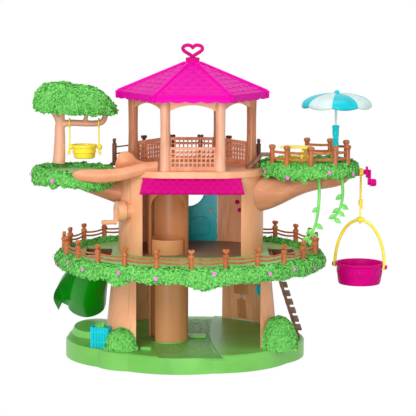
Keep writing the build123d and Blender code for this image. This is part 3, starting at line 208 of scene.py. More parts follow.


# Hoist rope: a taut yellow cord of three strands from the winch drum to its knot, one fixed tube that
# rides on no body. put(), join(), grid() and tube() serve every later piece.
def put(name, shape, material, body="house", replaced=(), sharp=40, outward=True):
    """Makes one piece from corners in millimetres and faces; it rides on a body and stands for CAD nodes."""
    corners, faces = shape
    mesh = bpy.data.meshes.new(name)
    mesh.from_pydata((np.asarray(corners) * 0.001).tolist(), [], faces)
    if outward:
        work = bmesh.new()
        work.from_mesh(mesh)
        bmesh.ops.recalc_face_normals(work, faces=work.faces)
        work.to_mesh(mesh)
        work.free()
    if sharp:
        mesh.shade_smooth()
        mesh.set_sharp_from_angle(angle=math.radians(sharp))
    mesh.materials.append(material)
    piece = bpy.data.objects.new(name, mesh)
    bpy.context.scene.collection.objects.link(piece)
    if body:
        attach(piece, body)
    if replaced:
        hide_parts(*replaced)
    return piece


def join(shapes):
    """Several shapes as one list of corners and one of faces."""
    corners = []
    faces = []
    for points, loops in shapes:
        start = len(corners)
        corners.extend(points)
        faces.extend([tuple(index + start for index in loop) for loop in loops])
    return corners, faces


def grid(points, round_u=False, round_v=False, caps=False):
    """Quads between the rows and columns of a point array, closed round either way, with end caps."""
    points = np.asarray(points, dtype=float)
    rows, columns = points.shape[:2]
    down = np.arange(rows if round_u else rows - 1)
    along = np.arange(columns if round_v else columns - 1)
    i, j = np.meshgrid(down, along, indexing="ij")
    below = (i + 1) % rows
    beside = (j + 1) % columns
    corners = (i * columns + j, below * columns + j, below * columns + beside, i * columns + beside)
    faces = np.stack(corners, axis=-1).reshape(-1, 4).tolist()
    if caps:
        faces.append(list(range(columns)))
        faces.append([(rows - 1) * columns + index for index in reversed(range(columns))])
    return points.reshape(-1, 3).tolist(), faces


def tube(path, radii, sides=12, closed=False):
    """A round tube along a line, with a radius at each point; its rings turn as little as they can."""
    path = np.asarray(path, dtype=float)
    radii = np.broadcast_to(radii, len(path))
    if closed:
        ways = np.roll(path, -1, axis=0) - np.roll(path, 1, axis=0)
    else:
        ways = np.gradient(path, axis=0)
    ways = ways / np.linalg.norm(ways, axis=1)[:, None]
    side = np.cross(ways[0], (0.31, 0.83, 0.47))
    angles = np.linspace(0, 2 * np.pi, sides, endpoint=False)
    rings = []
    for point, way, radius in zip(path, ways, radii):
        side = side - way * (side @ way)
        side = side / np.linalg.norm(side)
        other = np.cross(way, side)
        rings.append(point + radius * (np.cos(angles)[:, None] * side + np.sin(angles)[:, None] * other))
    return grid(rings, round_u=closed, round_v=True, caps=not closed)


rope_yellow = plastic("rope_yellow", (255, 235, 79), (255, 209, 48), rough=0.45, scale=300, stretch=1)
rope_x = 276
rope_top = 292.7
rope_bottom = 248
rope_radius = 1.9
rope_turns = 5
rope_heights = np.linspace(rope_top, rope_bottom, 60)
strands = []
for strand in range(3):
    phase = 2 * np.pi * (strand / 3 + rope_turns * (rope_top - rope_heights) / (rope_top - rope_bottom))
    aside = 0.45 * rope_radius
    line = np.stack([rope_x + aside * np.cos(phase), aside * np.sin(phase), rope_heights], axis=1)
    strands.append(tube(line, 0.55 * rope_radius, sides=8))
rope = put("hoist_cord", join(strands), rope_yellow, body=None, replaced=["hoist_rope"])
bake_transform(rope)

# Leafy rims of the deck and the two platforms: moulded rings of small folded leaves over a lumpy core,
# which hang lower in a few places. Soft mid-green plastic, one piece moulded round each floor. The core is
# a darker green as painted shade in the gaps between the leaves.
leaf_green = plastic("leaf_green", (123, 213, 99), (64, 163, 66), rough=0.42, tone="leaf_tone_and_shade", soften=0.0002)
leaf_gap_shade = plastic("leaf_gap_shade", (77, 174, 70), (48, 141, 53), rough=0.6, scale=220, stretch=1)


def ripple(first, second, seed):
    """Seeded lumps of about unit height over two angles: ten crossing waves that close round both ways."""
    rng = np.random.default_rng(seed)
    total = 0
    for fast, cross in zip(rng.integers(5, 34, 10), rng.integers(1, 5, 10)):
        total = total + np.sin(fast * first + cross * second + rng.uniform(0, 2 * np.pi))
    return total / math.sqrt(5)


def leaves(shape, count, length, seed, keep=None):
    """Folded leaves over a closed shape: each is four faces, from its stalk over two sides to its tip.

    They lie at places picked evenly by area, tilted off the surface and turned at random with a lean
    downward. Returns the shape and a tone from 0 to 1 for each corner: a random tone for each leaf, with
    painted shade at the stalk and a painted highlight at the tip.
    """
    rng = np.random.default_rng(seed)
    corners = np.asarray(shape[0])
    quads = np.asarray([face for face in shape[1] if len(face) == 4])
    a, b, c, d = (corners[quads[:, index]] for index in range(4))
    cross = np.cross(c - a, d - b)
    volume = np.sum(np.einsum("ij,ij->i", a, np.cross(b, c)) + np.einsum("ij,ij->i", a, np.cross(c, d)))
    cross = cross * np.sign(volume)
    area = np.linalg.norm(cross, axis=1)
    chosen = rng.choice(len(quads), count, p=area / area.sum())
    u = rng.uniform(0, 1, (count, 1))
    v = rng.uniform(0, 1, (count, 1))
    a, b, c, d = a[chosen], b[chosen], c[chosen], d[chosen]
    place = a * (1 - u) * (1 - v) + b * u * (1 - v) + c * u * v + d * (1 - u) * v
    normal = cross[chosen] / area[chosen][:, None]
    if keep is not None:
        kept = keep(place)
        place = place[kept]
        normal = normal[kept]
    count = len(place)
    way = rng.normal(0, 1, (count, 3)) * 0.75 + np.array([0, 0, -0.45])
    way = way - normal * np.einsum("ij,ij->i", way, normal)[:, None]
    way = way / np.linalg.norm(way, axis=1)[:, None]
    side = np.cross(normal, way)
    tilt = rng.uniform(0.05, 0.55, (count, 1))
    along = way * np.cos(tilt) + normal * np.sin(tilt)
    over = normal * np.cos(tilt) - way * np.sin(tilt)
    size = length * rng.uniform(0.75, 1.2, (count, 1))
    stalk = place - 0.15 * size * along
    left = place + size * (0.42 * along + 0.34 * side + 0.1 * over)
    right = place + size * (0.42 * along - 0.34 * side + 0.1 * over)
    rib = place + size * (0.5 * along - 0.04 * over)
    tip = place + size * (0.95 * along - 0.14 * over)
    points = np.stack([stalk, left, right, rib, tip], axis=1).reshape(-1, 3)
    base = 5 * np.arange(count)[:, None, None]
    faces = (base + np.array([[0, 2, 3], [0, 3, 1], [3, 2, 4], [3, 4, 1]])).reshape(-1, 3).tolist()
    # Painted shade and highlight: each leaf's random tone is lowered at its stalk and raised at its tip.
    tone = rng.uniform(0.35, 0.8, (count, 1)) + np.array([[-0.3, 0.1, 0.1, -0.05, 0.2]])
    return (points.tolist(), faces), tone.ravel()


def tell(piece, name, values):
    """Gives each corner of a piece a value from 0 to 1, which its material reads as a tone."""
    piece.data.attributes.new(name, "FLOAT", "POINT").data.foreach_set("value", np.clip(values, 0, 1))


def foliage(name, shape, count, length, seed, replaced, keep=None):
    """A lumpy core, painted darker as shade between the leaves, that stands for CAD nodes, and its leaves as a
    piece of their own.
    """
    put(f"{name}_core", shape, leaf_gap_shade, replaced=replaced, sharp=80)
    cover, tone = leaves(shape, count, length, seed, keep)
    tell(put(f"{name}_leaves", cover, leaf_green, sharp=0, outward=False), "leaf_tone_and_shade", tone)


def leafy_ring(centre, half, inside, outside, low, high, seed, size, tilt=0):
    """A ring of rounded section round an ellipse; low and high are its levels for each angle.

    The section is a circle whose cosine and sine are raised to 0.75, which squares it a little. Seeded
    lumps push it out, and tilt raises the inner side and lowers the outer side by as many millimetres.
    """
    angle = np.linspace(0, 2 * np.pi, int(4 * sum(half) / 6), endpoint=False)[:, None]
    turn = np.linspace(0, 2 * np.pi, 20, endpoint=False)[None, :]
    bottom = low(angle)
    top = high(angle)
    push = 1 + size * ripple(angle, turn, seed) / (inside + outside)
    upward, sideways = (np.sign(wave) * abs(wave) ** 0.75 for wave in (np.sin(turn), np.cos(turn)))
    out = (outside - inside) / 2 + (outside + inside) / 2 * push * sideways
    rise = (top + bottom) / 2 + (top - bottom) / 2 * push * upward - tilt * np.cos(turn)
    x = centre[0] + (half[0] + out) * np.cos(angle)
    y = centre[1] + (half[1] + out) * np.sin(angle)
    return grid(np.stack([x, y, rise], axis=-1), round_u=True, round_v=True)


def bulge(angle, centre, width):
    """A rounded bump of unit height at one angle, in degrees."""
    apart = (np.degrees(angle) - centre + 180) % 360 - 180
    return np.exp(-((apart / width) ** 2))


leaf_length = 5.8
deck_centre = (2, -32)
deck_half = (201, 182)
deck_shape = leafy_ring(
    deck_centre,
    deck_half,
    inside=8,
    outside=13,
    low=lambda angle: 155 - 1.5 * ripple(angle, 0, 4) - 9 * bulge(angle, -84, 6) - 5 * bulge(angle, -124, 5),
    high=lambda angle: 174,
    seed=5,
    size=1.6,
    tilt=4,
)
foliage("deck_rim", deck_shape, 24000, leaf_length, seed=11, replaced=["deck_leaf_rim"])
left_centre = (-185, 2)
left_shape = leafy_ring(
    left_centre,
    (56, 52),
    inside=6,
    outside=10.5,
    low=lambda angle: 280 - 1.5 * ripple(angle, 0, 6) - 8 * bulge(angle, -50, 32),
    high=lambda angle: 303 - 14 * bulge(angle, -58, 34),
    seed=7,
    size=1.6,
)
foliage("left_rim", left_shape, 9500, leaf_length, seed=12, replaced=["left_platform_rim"])
right_centre = (193, 4)
right_shape = leafy_ring(
    right_centre,
    (66, 67),
    inside=6,
    outside=12,
    low=lambda angle: 296 - 1.5 * ripple(angle, 0, 8) - 3 * bulge(angle, -110, 20),
    high=lambda angle: 314,
    seed=9,
    size=1.5,
    tilt=2,
)
foliage("right_rim", right_shape, 10500, leaf_length, seed=13, replaced=["right_platform_rim"])

# Flowers: small pink ones of five petals each, moulded on the outer face of the leafy rims, fourteen of
# them round the deck. Each petal is two faces from the flower's heart to its tip.
flower_pink = plastic("flower_pink", (255, 139, 238), (255, 101, 216), rough=0.4, scale=200, stretch=1)
deck_flowers = (-176, -163, -150, -139, -120, -104, -81, -57, -44, -29, -14, 40, 88, 140)
flowers = []
for centre, half, height, degrees in (
    (deck_centre, (217, 198), 167, deck_flowers),
    (left_centre, (71, 67), 294, (-160, -115, 60, 130)),
    (right_centre, (82, 83), 301, (-150, -118, -72, -38, 30, 110)),
):
    for index, degree in enumerate(degrees):
        angle = math.radians(degree)
        outward = np.array([math.cos(angle), math.sin(angle), 0.25])
        outward = outward / np.linalg.norm(outward)
        level = np.cross((0, 0, 1), outward)
        level = level / np.linalg.norm(level)
        rise = np.cross(outward, level)
        x = centre[0] + half[0] * math.cos(angle)
        y = centre[1] + half[1] * math.sin(angle)
        middle_point = np.array([x, y, height + (0, -6, 3, -2)[index % 4]])
        heart_point = middle_point + 1.6 * outward
        for petal in range(5):
            turn = 2 * np.pi * petal / 5 + 0.4 * index
            way = math.cos(turn) * level + math.sin(turn) * rise
            side = np.cross(outward, way)
            tips = [
                heart_point,
                middle_point + 2.4 * way + 1.5 * side + 2.4 * outward,
                middle_point + 3.6 * way + 1.8 * outward,
                middle_point + 2.4 * way - 1.5 * side + 2.4 * outward,
            ]
            flowers.append(([tip.tolist() for tip in tips], [(0, 3, 2), (0, 2, 1)]))
put("rim_flowers", join(flowers), flower_pink, sharp=0, outward=False)

# Tree crown: one flat-topped cushion of the same leaves, which leans to the left, with its edge hanging
# round the branches. It is a moulding of its own, pressed on the tree's limbs.
def curve(points, count, closed=False):
    """A smooth line through chosen points: each span is a cubic that leaves along its neighbours' chord."""
    points = np.asarray(points, dtype=float)
    if closed:
        padded = np.vstack([points[-1:], points, points[:2]])
    else:
        padded = np.vstack([2 * points[:1] - points[1:2], points, 2 * points[-1:] - points[-2:-1]])
    spans = len(points) if closed else len(points) - 1
    steps = np.linspace(0, spans, count, endpoint=not closed)
    whole = np.minimum(steps.astype(int), spans - 1)
    part = (steps - whole)[:, None]
    a, b, c, d = (padded[whole + shift] for shift in range(4))
    line = 2 * b + (c - a) * part + (2 * a - 5 * b + 4 * c - d) * part**2
    return 0.5 * (line + (3 * b - a - 3 * c + d) * part**3)


crown_centre = (-184, 30)
crown_low = 388
crown_height = 47
crown_profile = curve(
    ((2, 398), (30, 396), (52, 388), (61, 390), (62.5, 398), (57, 411), (47, 423), (35, 430.5), (18, 433),
     (1, 433)),
    26,
)
turn = np.linspace(0, 2 * np.pi, 72, endpoint=False)[None, :]
level = np.linspace(0, np.pi, len(crown_profile))[:, None]
share = np.clip((crown_profile[:, 1:] - crown_low) / crown_height, 0, 1)
reach = crown_profile[:, :1] * (1 + 0.045 * ripple(turn, 2 * level, 21) * np.sin(level))
height = crown_profile[:, 1:] + 1.4 * ripple(turn, 2 * level, 22) * np.sin(level) - 3 * share * np.cos(turn)
height = height + 4.5 * (1 - share) * (1 - np.cos(turn)) * np.sin(level)
crown = np.stack(
    [
        crown_centre[0] + reach * np.cos(turn) - 8 * share,
        crown_centre[1] + 0.76 * reach * np.sin(turn),
        height,
    ],
    axis=-1,
)
foliage("tree_crown", grid(crown, round_v=True, caps=True), 15000, 6.0, seed=23, replaced=["tree_canopy"])

# Bushes: two domes of the same leaves at the foot of the trunk's front corners, seated on the base and
# pressed flat where they meet the trunk
trunk_centre = np.array([4, 25])
trunk_half = np.array([138, 135])
trunk_taper = 14
trunk_round = 65
base_top = 28
deck_top = 168


def trunk_distance(points):
    """How far points are outside the lower trunk: a rounded rectangle that tapers with height."""
    shrink = trunk_taper * (points[:, 2:] - base_top) / (deck_top - base_top)
    apart = abs(points[:, :2] - trunk_centre) - trunk_half + shrink + trunk_round
    outside = np.linalg.norm(np.maximum(apart, 0), axis=1)
    return outside + np.minimum(apart.max(axis=1), 0) - trunk_round


bushes = []
for centre, half, height, seed in (((-106, -105), (23, 19), 33, 31), ((142, -86), (27, 26), 49, 32)):
    rise = np.linspace(0, 1, 14)[:, None]
    turn = np.linspace(0, 2 * np.pi, 40, endpoint=False)[None, :]
    swell = np.sqrt(np.clip(1.001 - rise**2.4, 0, 1))
    swell = swell * (1 + 0.05 * ripple(turn, 3 * rise, seed) * (1 - rise))
    x = centre[0] + half[0] * swell * np.cos(turn)
    y = centre[1] + half[1] * swell * np.sin(turn)
    dome = np.stack([x, y, base_top + height * rise + 0 * turn], axis=-1)
    flat = dome.reshape(-1, 3)
    for _ in range(3):
        depth = trunk_distance(flat)
        slope = [(trunk_distance(flat + step) - depth) / 0.5 for step in ((0.5, 0, 0), (0, 0.5, 0))]
        flat[:, :2] -= np.minimum(depth - 0.5, 0)[:, None] * np.stack(slope, axis=1)
    bushes.append(grid(flat.reshape(dome.shape), round_v=True, caps=True))
foliage(
    "bushes",
    join(bushes),
    6500,
    5.6,
    seed=33,
    replaced=["bushes"],
    keep=lambda place: (trunk_distance(place) > 2.5) & (place[:, 2] > base_top + 1),
)

# Base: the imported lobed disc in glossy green, with a low stop block on it. The path is sunk in it, in
# duller green, and its rows of moulded arcs stand a millimetre proud.
base_green = plastic("base_green", (128, 205, 97), (108, 185, 79), rough=0.34, scale=12, stretch=1)
path_green = plastic("path_green", (130, 194, 101), (108, 172, 84), rough=0.46, scale=30, stretch=1)


def coat(material, *names):
    """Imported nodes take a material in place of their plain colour."""
    for name in names:
        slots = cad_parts[name].data.materials
        slots.clear()
        slots.append(material)


coat(base_green, "base")
path_level = 26.05
arc_row = 17
arc_width = 25
arc_radius = 9.5
arc_height = 1.1
path_right = curve(((56, -157), (43, -128), (36.5, -66), (38.5, 13), (44, 90), (51, 150)), 90)
path_left = curve(((-46, -157), (-54, -84), (-61, -37), (-62, 40), (-62, 100), (-60, 150)), 90)
across = np.linspace(0.02, 0.98, 60)[None, :, None]
floor = path_right[:, None, :] * across + path_left[:, None, :] * (1 - across)
row = floor[..., 1] / arc_row
cell = floor[..., 0] / arc_width + 0.5 * (np.floor(row) % 2)
arc = abs(np.hypot((cell % 1 - 0.5) * arc_width, (row % 1 - 0.1) * arc_row) - arc_radius)
ridge = arc_height * np.clip(1 - arc / 1.3, 0, 1) * (row % 1 > 0.22)
path = np.concatenate([floor, (path_level + ridge)[..., None]], axis=-1)
put("path_arcs", grid(path), path_green, sharp=0, outward=False)
block_foot = ((-76, -104), (-60, -108), (-58, -100), (-74, -96))
block = [[(x, y, z) for x, y in block_foot] for z in (27.8, 31.6, 32)]
put("base_block", grid(block, round_v=True, caps=True), base_green, sharp=30)

# Trunk, floors and branches: packed walls, shaft, arches and floors in tan plastic, snapped together.
# Shallow bark folds run down the walls; the decks are green, the balcony, ladder and stile dark brown.
tan_bark = plastic("tan_bark", (249, 183, 139), (233, 163, 119), rough=0.4, folds=0.35, folds_scale=30,
                   folds_stretch=0.06)
tan_smooth = plastic("tan_smooth", (244, 183, 139), (229, 163, 119), rough=0.36, scale=40)
shaft_tan = plastic("shaft_tan", (216, 152, 101), (200, 134, 86), rough=0.38, scale=30, stretch=0.1)
branch_tan = plastic("branch_tan", (222, 154, 117), (198, 128, 88), rough=0.4, scale=30, stretch=2.5)
deck_green = plastic("deck_green", (165, 209, 134), (143, 187, 112), rough=0.5, scale=24, stretch=1)
dark_brown = plastic("dark_brown", (123, 73, 48), (92, 51, 33), rough=0.42, scale=90)
bark_brown = plastic("bark_brown", (154, 106, 81), (114, 75, 57), rough=0.5, scale=80, folds=0.8,
                     folds_scale=120)
coat(tan_bark, "lower_wall_left", "lower_wall_right", "lower_wall_back", "lower_wall_over_door", "lower_door",
     "upper_wall_left", "upper_wall_right", "upper_wall_over_door")
coat(shaft_tan, "lift_shaft_lower", "lift_shaft_upper", "lift_car")
coat(tan_smooth, "lift_crank", "top_floor", "gazebo_arches")
coat(branch_tan, "left_branch", "right_branch")
coat(deck_green, "deck_floor", "left_platform_floor", "right_platform_floor")
coat(dark_brown, "balcony_floor")
coat(bark_brown, "stile", "ladder")

# Room floor: a thin brown-grey sheet laid over the deck inside the upper room, cut round the lift's shaft.
# It runs from the shaft out to the room's rounded outline, the last point of each ray that lies inside it.
room_brown = plastic("room_brown", (165, 128, 99), (139, 103, 77), rough=0.45, scale=30, stretch=1)
shaft_centre = np.array([-34, -19])
room_centre = np.array([3, 22])
room_half = np.array([114.2, 85.2])
room_round = 77.2
room_rays = 160
turn = np.linspace(0, 2 * np.pi, room_rays, endpoint=False)[:, None, None]
run = np.linspace(33.6, 240, 400)[None, :, None]
rays_out = shaft_centre + run * np.concatenate([np.cos(turn), np.sin(turn)], axis=-1)
apart = abs(rays_out - room_centre) - room_half + room_round
beyond = np.linalg.norm(np.maximum(apart, 0), axis=-1) + np.minimum(apart.max(axis=-1), 0) - room_round
last = np.maximum((beyond < 0).sum(axis=1) - 1, 1)
edges = (rays_out[:, 0], rays_out[np.arange(room_rays), last])
sheet = [np.column_stack([points, np.full(room_rays, deck_top + 0.25)]) for points in edges]
put("room_floor", grid(np.stack(sheet, axis=1), round_u=True), room_brown, sharp=0, outward=False)

# Hatch shade: dark boards under the floor round both deck hatches, painted shade so that each hatch reads
# as a deep hole. Each is four thin boards.
hatch_front = -43
hatch_back = 45
shade_board_thick = 2
shade_boards = []
for left, right in ((-167, -124), (128, 171)):
    for x0, x1, y0, y1 in (
        (left - shade_board_thick, right + shade_board_thick, hatch_back, hatch_back + shade_board_thick),
        (left - shade_board_thick, right + shade_board_thick, hatch_front - shade_board_thick, hatch_front),
        (left - shade_board_thick, left, hatch_front, hatch_back),
        (right, right + shade_board_thick, hatch_front, hatch_back),
    ):
        board = [[(x0, y0, z), (x1, y0, z), (x1, y1, z), (x0, y1, z)] for z in (153, 164)]
        shade_boards.append(grid(board, round_v=True, caps=True))
put("hatch_shade", join(shade_boards), dark_brown, sharp=30)

# Ground door: raised planks in the shape of a keyhole and a round grey pin, moulded on the inner face of
# the tan door. The door is a piece of the round wall, which tapers with height as the trunk does.
pin_grey = plastic("pin_grey", (194, 194, 196), (154, 156, 161), rough=0.25, scale=200, stretch=1)
door_radius = 120
door_thick = 2.5
door_angle = math.radians(53)
door_axis = np.array([22, 40])
door_way = np.array([math.cos(door_angle), math.sin(door_angle)])
door_side = np.array([-door_way[1], door_way[0]])


def door_point(across, height, depth):
    """A point on the ground door's inner face: across it, up it, and proud of it toward the room."""
    reach = door_radius - trunk_taper * (height - base_top) / (deck_top - base_top) - door_thick - depth
    out = math.sqrt(reach**2 - across**2)
    flat_point = door_axis + out * door_way + across * door_side
    return (flat_point[0], flat_point[1], height)


planks = []
for left, right, low, high in ((-9, -3.2, 32, 64), (-2.8, 2.8, 32, 68), (3.2, 9, 32, 64), (-14, 14, 74, 98)):
    outlines = []
    for depth, inset in ((-0.5, 0), (0.9, 0), (1.4, 0.6)):
        x0, x1, z0, z1 = (left + inset, right - inset, low + inset, high - inset)
        outlines.append([door_point(x, z, depth) for x, z in ((x0, z0), (x1, z0), (x1, z1), (x0, z1))])
    planks.append(grid(outlines, round_v=True, caps=True))
put("door_planks", join(planks), shaft_tan, body="ground_door", sharp=30)
pin_line = [door_point(0, 70, depth) for depth in (-0.5, 2.4, 3.0, 3.1)]
put("door_pin", tube(pin_line, (3.4, 3.4, 2.6, 1.0), sides=24), pin_grey, body="ground_door")

# Upper back door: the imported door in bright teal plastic, with a rim round its window, a panel drawn by a
# raised frame, and a round grey pin, all moulded on the face toward the room
teal = plastic("teal", (0, 205, 216), (0, 183, 196), rough=0.28, scale=30, stretch=1, shine=0.25)
coat(teal, "upper_door")
door_face = 107.4
panel_corners = ((0, 178), (28, 178), (34, 184), (34, 202), (28, 208), (10, 208), (0, 200), (-28, 200),
                 (-34, 194), (-34, 184), (-28, 178))


def circle(centre, radius, across, rise, count):
    """Points round a circle: its centre, and its two radii along two directions, by cosine and sine."""
    turn = np.linspace(0, 2 * np.pi, count, endpoint=False)[:, None]
    return np.asarray(centre) + radius * (np.cos(turn) * np.asarray(across) + np.sin(turn) * np.asarray(rise))


window_ring = circle((-1, door_face, 254), 28.6, (1, 0, 0), (0, 0, 1), 72)
panel_line = curve([(x, door_face, z) for x, z in panel_corners], 90, closed=True)
door_trim = join([tube(window_ring, 1.3, closed=True), tube(panel_line, 0.7, sides=8, closed=True)])
put("upper_door_trim", door_trim, teal)
pin_line = [(36, door_face - depth, 219) for depth in (-0.5, 2.0, 2.6, 2.7)]
put("upper_door_pin", tube(pin_line, (3.2, 3.2, 2.4, 0.8), sides=24), pin_grey)

# Awning: a sloping board of pointed magenta scales over the front opening, with a rolled lower edge. It is
# one moulding with a flat back, clipped to the upper wall.
awning_magenta = plastic("awning_magenta", (216, 0, 134), (183, 0, 108), rough=0.38, tone="scale_shade",
                         shine=0.06)
awning_top = ((-73, -66.6, 293.4), (81, -66.6, 293.4))
awning_foot = ((-78, -88.4, 272), (86, -88.4, 272))
awning_length = 30
awning_thick = 2.2
awning_normal = np.array([0, -0.7, 0.714])


def scales(along, down, width, row, point):
    """Roof scales as a height from 0 to 1: rows overlap the next, and each scale is thickest at its lip.

    The height is the share of the way from a scale's start to its lip, and odd rows stand half a width
    aside. along and down are millimetres on the slope; point 0 gives round lips and 1 gives pointed ones.
    """
    height = 0
    for back in (0, 1):
        index = np.floor(down / row) - back
        across = along / width + 0.5 * (index % 2)
        across = 2 * abs(across - np.round(across))
        lip = 1 + 0.5 * ((1 - point) * np.sqrt(np.clip(1 - across**2, 0, 1)) + point * (1 - across))
        share = (down / row - index) / lip
        height = np.where((share <= 1) & (share >= 0), share, height)
    return height


def between(start, end, share):
    """Points on the straight way from start to end, at each share of it from 0 to 1."""
    return np.array(start) * (1 - share) + np.array(end) * share


u = np.linspace(0, 1, 260)[None, :, None]
v = np.linspace(0, 1, 60)[:, None, None]
board = between(between(*awning_top, u), between(*awning_foot, u), v)
relief = 0.2 + scales(board[..., 0], awning_length * v[..., 0], 12.8, 8.5, 1)
relief[-3:] = 1.3
front_face = board + relief[..., None] * awning_normal
back_face = board - awning_thick * awning_normal
shell = np.concatenate([front_face, back_face[::-1]])
rows, columns = shell.shape[:2]
corners, faces = grid(shell, round_u=True)
faces += [list(range(start, rows * columns, columns)) for start in (0, columns - 1)]
awning = put("awning_scales", (corners, faces), awning_magenta, replaced=["awning"], sharp=32)
# Painted shade: each scale is darker just under the lip of the row above and lighter toward its own lip.
tell(awning, "scale_shade", np.concatenate([0.3 + 0.3 * relief.ravel(), np.full(relief.size, 0.6)]))

# Roof: six slopes of magenta scales between round ribs, a scalloped skirt with short bars round the eaves,
# and a smooth inside. One moulding, which snaps down on the gazebo's arches.
roof_magenta = plastic("roof_magenta", (238, 0, 172), (202, 0, 143), rough=0.36, tone="scale_shade",
                       shine=0.06)
roof_centre = np.array([5, 27])
eave_radius = 120
eave_level = 424
crest_radius = 12
crest_level = 470
skirt_depth = 9
roof_thick = 2.5


def roof_corner(radius, level, sector):
    """A corner of the six-sided roof at a radius and a level, counted round from the right."""
    turn = np.radians(60 * sector)
    return np.array([*(roof_centre + radius * np.array([np.cos(turn), np.sin(turn)])), level])


u = np.linspace(0, 1, 120)[None, :, None]
v = np.linspace(0, 1, 90)[:, None, None]
drop = skirt_depth + 2.6 * abs(np.sin(5 * np.pi * u[0, :, 0]))
along = (u - 0.5)[..., 0] * (crest_radius + (eave_radius - crest_radius) * v[..., 0])
roof_parts = []
roof_shades = []
for sector in range(6):
    low_points = [roof_corner(eave_radius, eave_level, sector + step) for step in (0, 1)]
    high_points = [roof_corner(crest_radius, crest_level, sector + step) for step in (0, 1)]
    low_line = between(*low_points, u)
    slope = between(between(*high_points, u), low_line, v)
    normal = np.cross(low_points[0] - high_points[0], low_points[1] - low_points[0])
    normal = normal / np.linalg.norm(normal)
    run = np.linalg.norm((low_points[0] + low_points[1] - high_points[0] - high_points[1]) / 2)
    relief = 1.1 * scales(along, run * v[..., 0], 18, 13, 0.1)
    outward = np.array([*normal[:2] / np.linalg.norm(normal[:2]), 0])
    skirt = [
        low_line[0] + out * outward + np.array([0, 0, 1]) * (level - hang * drop)[:, None]
        for out, level, hang in (
            (1.6, 1.4, 0), (2.2, 0, 0), (2.2, -0.3, 0), (1.2, -3, 0), (1.2, 0, 1), (-1.2, 0, 1), (-1.2, -4, 0)
        )
    ]
    inner = (slope - roof_thick * normal)[::-1][::8]
    tiles = grid(np.concatenate([slope + relief[..., None] * normal, np.array(skirt), inner]))
    rib_line = np.linspace(high_points[0] + (0, 0, 0.8), low_points[0] + (0, 0, 0.4), 24)
    rib = tube(rib_line, np.linspace(2.0, 3.1, 24))
    angle = math.radians(60 * sector)
    corner = low_points[0] + np.array([1.2 * math.cos(angle), 1.2 * math.sin(angle), 0])
    bar = tube([corner + (0, 0, level) for level in (1.5, 0.5, -9, -11)], (2.2, 3, 2.7, 1.6))
    roof_parts += [tiles, rib, bar]
    # Painted shade: each scale is darker just under the lip of the row above and lighter toward its own lip.
    roof_shades.append(0.32 + 0.3 * relief.ravel())
    roof_shades.append(np.full(len(tiles[0]) - relief.size, 0.65))
    roof_shades.append(np.full(len(rib[0]) + len(bar[0]), 0.7))
roof = put("roof_tiles", join(roof_parts), roof_magenta, replaced=["roof"], sharp=38, outward=False)
tell(roof, "scale_shade", np.concatenate(roof_shades))

# Finial: a fluted cap on the crest and an open heart bent from one round bar, moulded together in a deeper
# magenta and plugged into the roof
deep_magenta = plastic("deep_magenta", (220, 0, 134), (196, 0, 117), rough=0.36, scale=30, stretch=1,
                       shine=0.06)


def around(centre, reach, level, turn):
    """Corners round an upright line: reach by cosine and sine of the turn, each row at its own level."""
    x = centre[0] + reach * np.cos(turn)
    y = centre[1] + reach * np.sin(turn)
    return np.stack([x, y, level + 0 * turn], axis=-1)


def heart(width, height, count=64):
    """A heart outline, point down from 0, as across and up: sixteen sine cubed over four cosines."""
    turn = np.linspace(0, 2 * np.pi, count, endpoint=False) + 1e-3
    across = width / 2 * np.sin(turn) ** 3
    up = 13 * np.cos(turn) - 5 * np.cos(2 * turn) - 2 * np.cos(3 * turn) - np.cos(4 * turn)
    return across, (up + 17) / 29 * height


turn = np.linspace(0, 2 * np.pi, 96, endpoint=False)[None, :]
profile = curve(((12.5, 467.5), (11.5, 470), (10.5, 474), (10.8, 477), (8, 478.5), (3, 479)), 22)
flute = 1 + 0.05 * np.cos(12 * turn) * np.sin(np.linspace(0, np.pi, 22))[:, None]
cap = around(roof_centre, profile[:, :1] * flute, profile[:, 1:], turn)
across, up = heart(31.5, 19.5)
heart_line = np.stack([roof_centre[0] + across, roof_centre[1] + 0 * across, 478.6 + up], axis=1)
finial = join([grid(cap, round_v=True, caps=True), tube(heart_line, 2.9, sides=14, closed=True)])
put("finial_heart", finial, deep_magenta, replaced=["roof_finial"])

# Gazebo columns: six waisted tan posts, pressed between the top floor and the arches, the front two paler
# where light passes through them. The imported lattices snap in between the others.
side_tan = plastic("side_tan", (209, 143, 103), (172, 108, 73), rough=0.36, folds=0.4, folds_scale=70,
                   folds_stretch=0.03)
column_tan = plastic("column_tan", (240, 189, 161), (218, 152, 117), rough=0.3, scale=70, stretch=0.22,
                     glow=0.15)
lattice_tan = plastic("lattice_tan", (235, 163, 123), (205, 130, 92), rough=0.42, scale=70, stretch=1)


def lathe(profile, centre, sides=32):
    """A turned shape: rings of the profile's radii and levels round an upright line."""
    profile = np.asarray(profile, dtype=float)
    turn = np.linspace(0, 2 * np.pi, sides, endpoint=False)[None, :]
    return grid(around(centre, profile[:, :1], profile[:, 1:], turn), round_v=True, caps=True)


column_profile = curve(((9.2, 304), (8.7, 312), (7.7, 345), (7.5, 375), (8.0, 405), (8.5, 426.7)), 30)
for name, finish, spots in (
    ("front_posts", column_tan, ((-43.5, -81), (43.5, -81))),
    ("side_posts", side_tan, ((-95.5, 0), (95.5, 0), (-43.5, 81), (43.5, 81))),
):
    columns = [lathe(column_profile, (roof_centre[0] + x, roof_centre[1] + y)) for x, y in spots]
    put(name, join(columns), finish, replaced=["gazebo_columns"])
coat(lattice_tan, "lattice_front", "lattice_back", "lattice_back_left", "lattice_back_right")

# Deck fence: 24 turned posts in chestnut plastic, each with a collar and a solid heart on top, and two thin
# rails that sag between them. It is moulded in four runs, which plug into the deck's edge.
fence_brown = plastic("fence_brown", (205, 119, 64), (161, 84, 40), rough=0.38, scale=120)
fence_posts = 24
post_profile = ((4.4, 170), (4.2, 176), (3.8, 186), (3.8, 190), (4.8, 191), (4.8, 194), (3.4, 195.4),
                (2, 196.4))


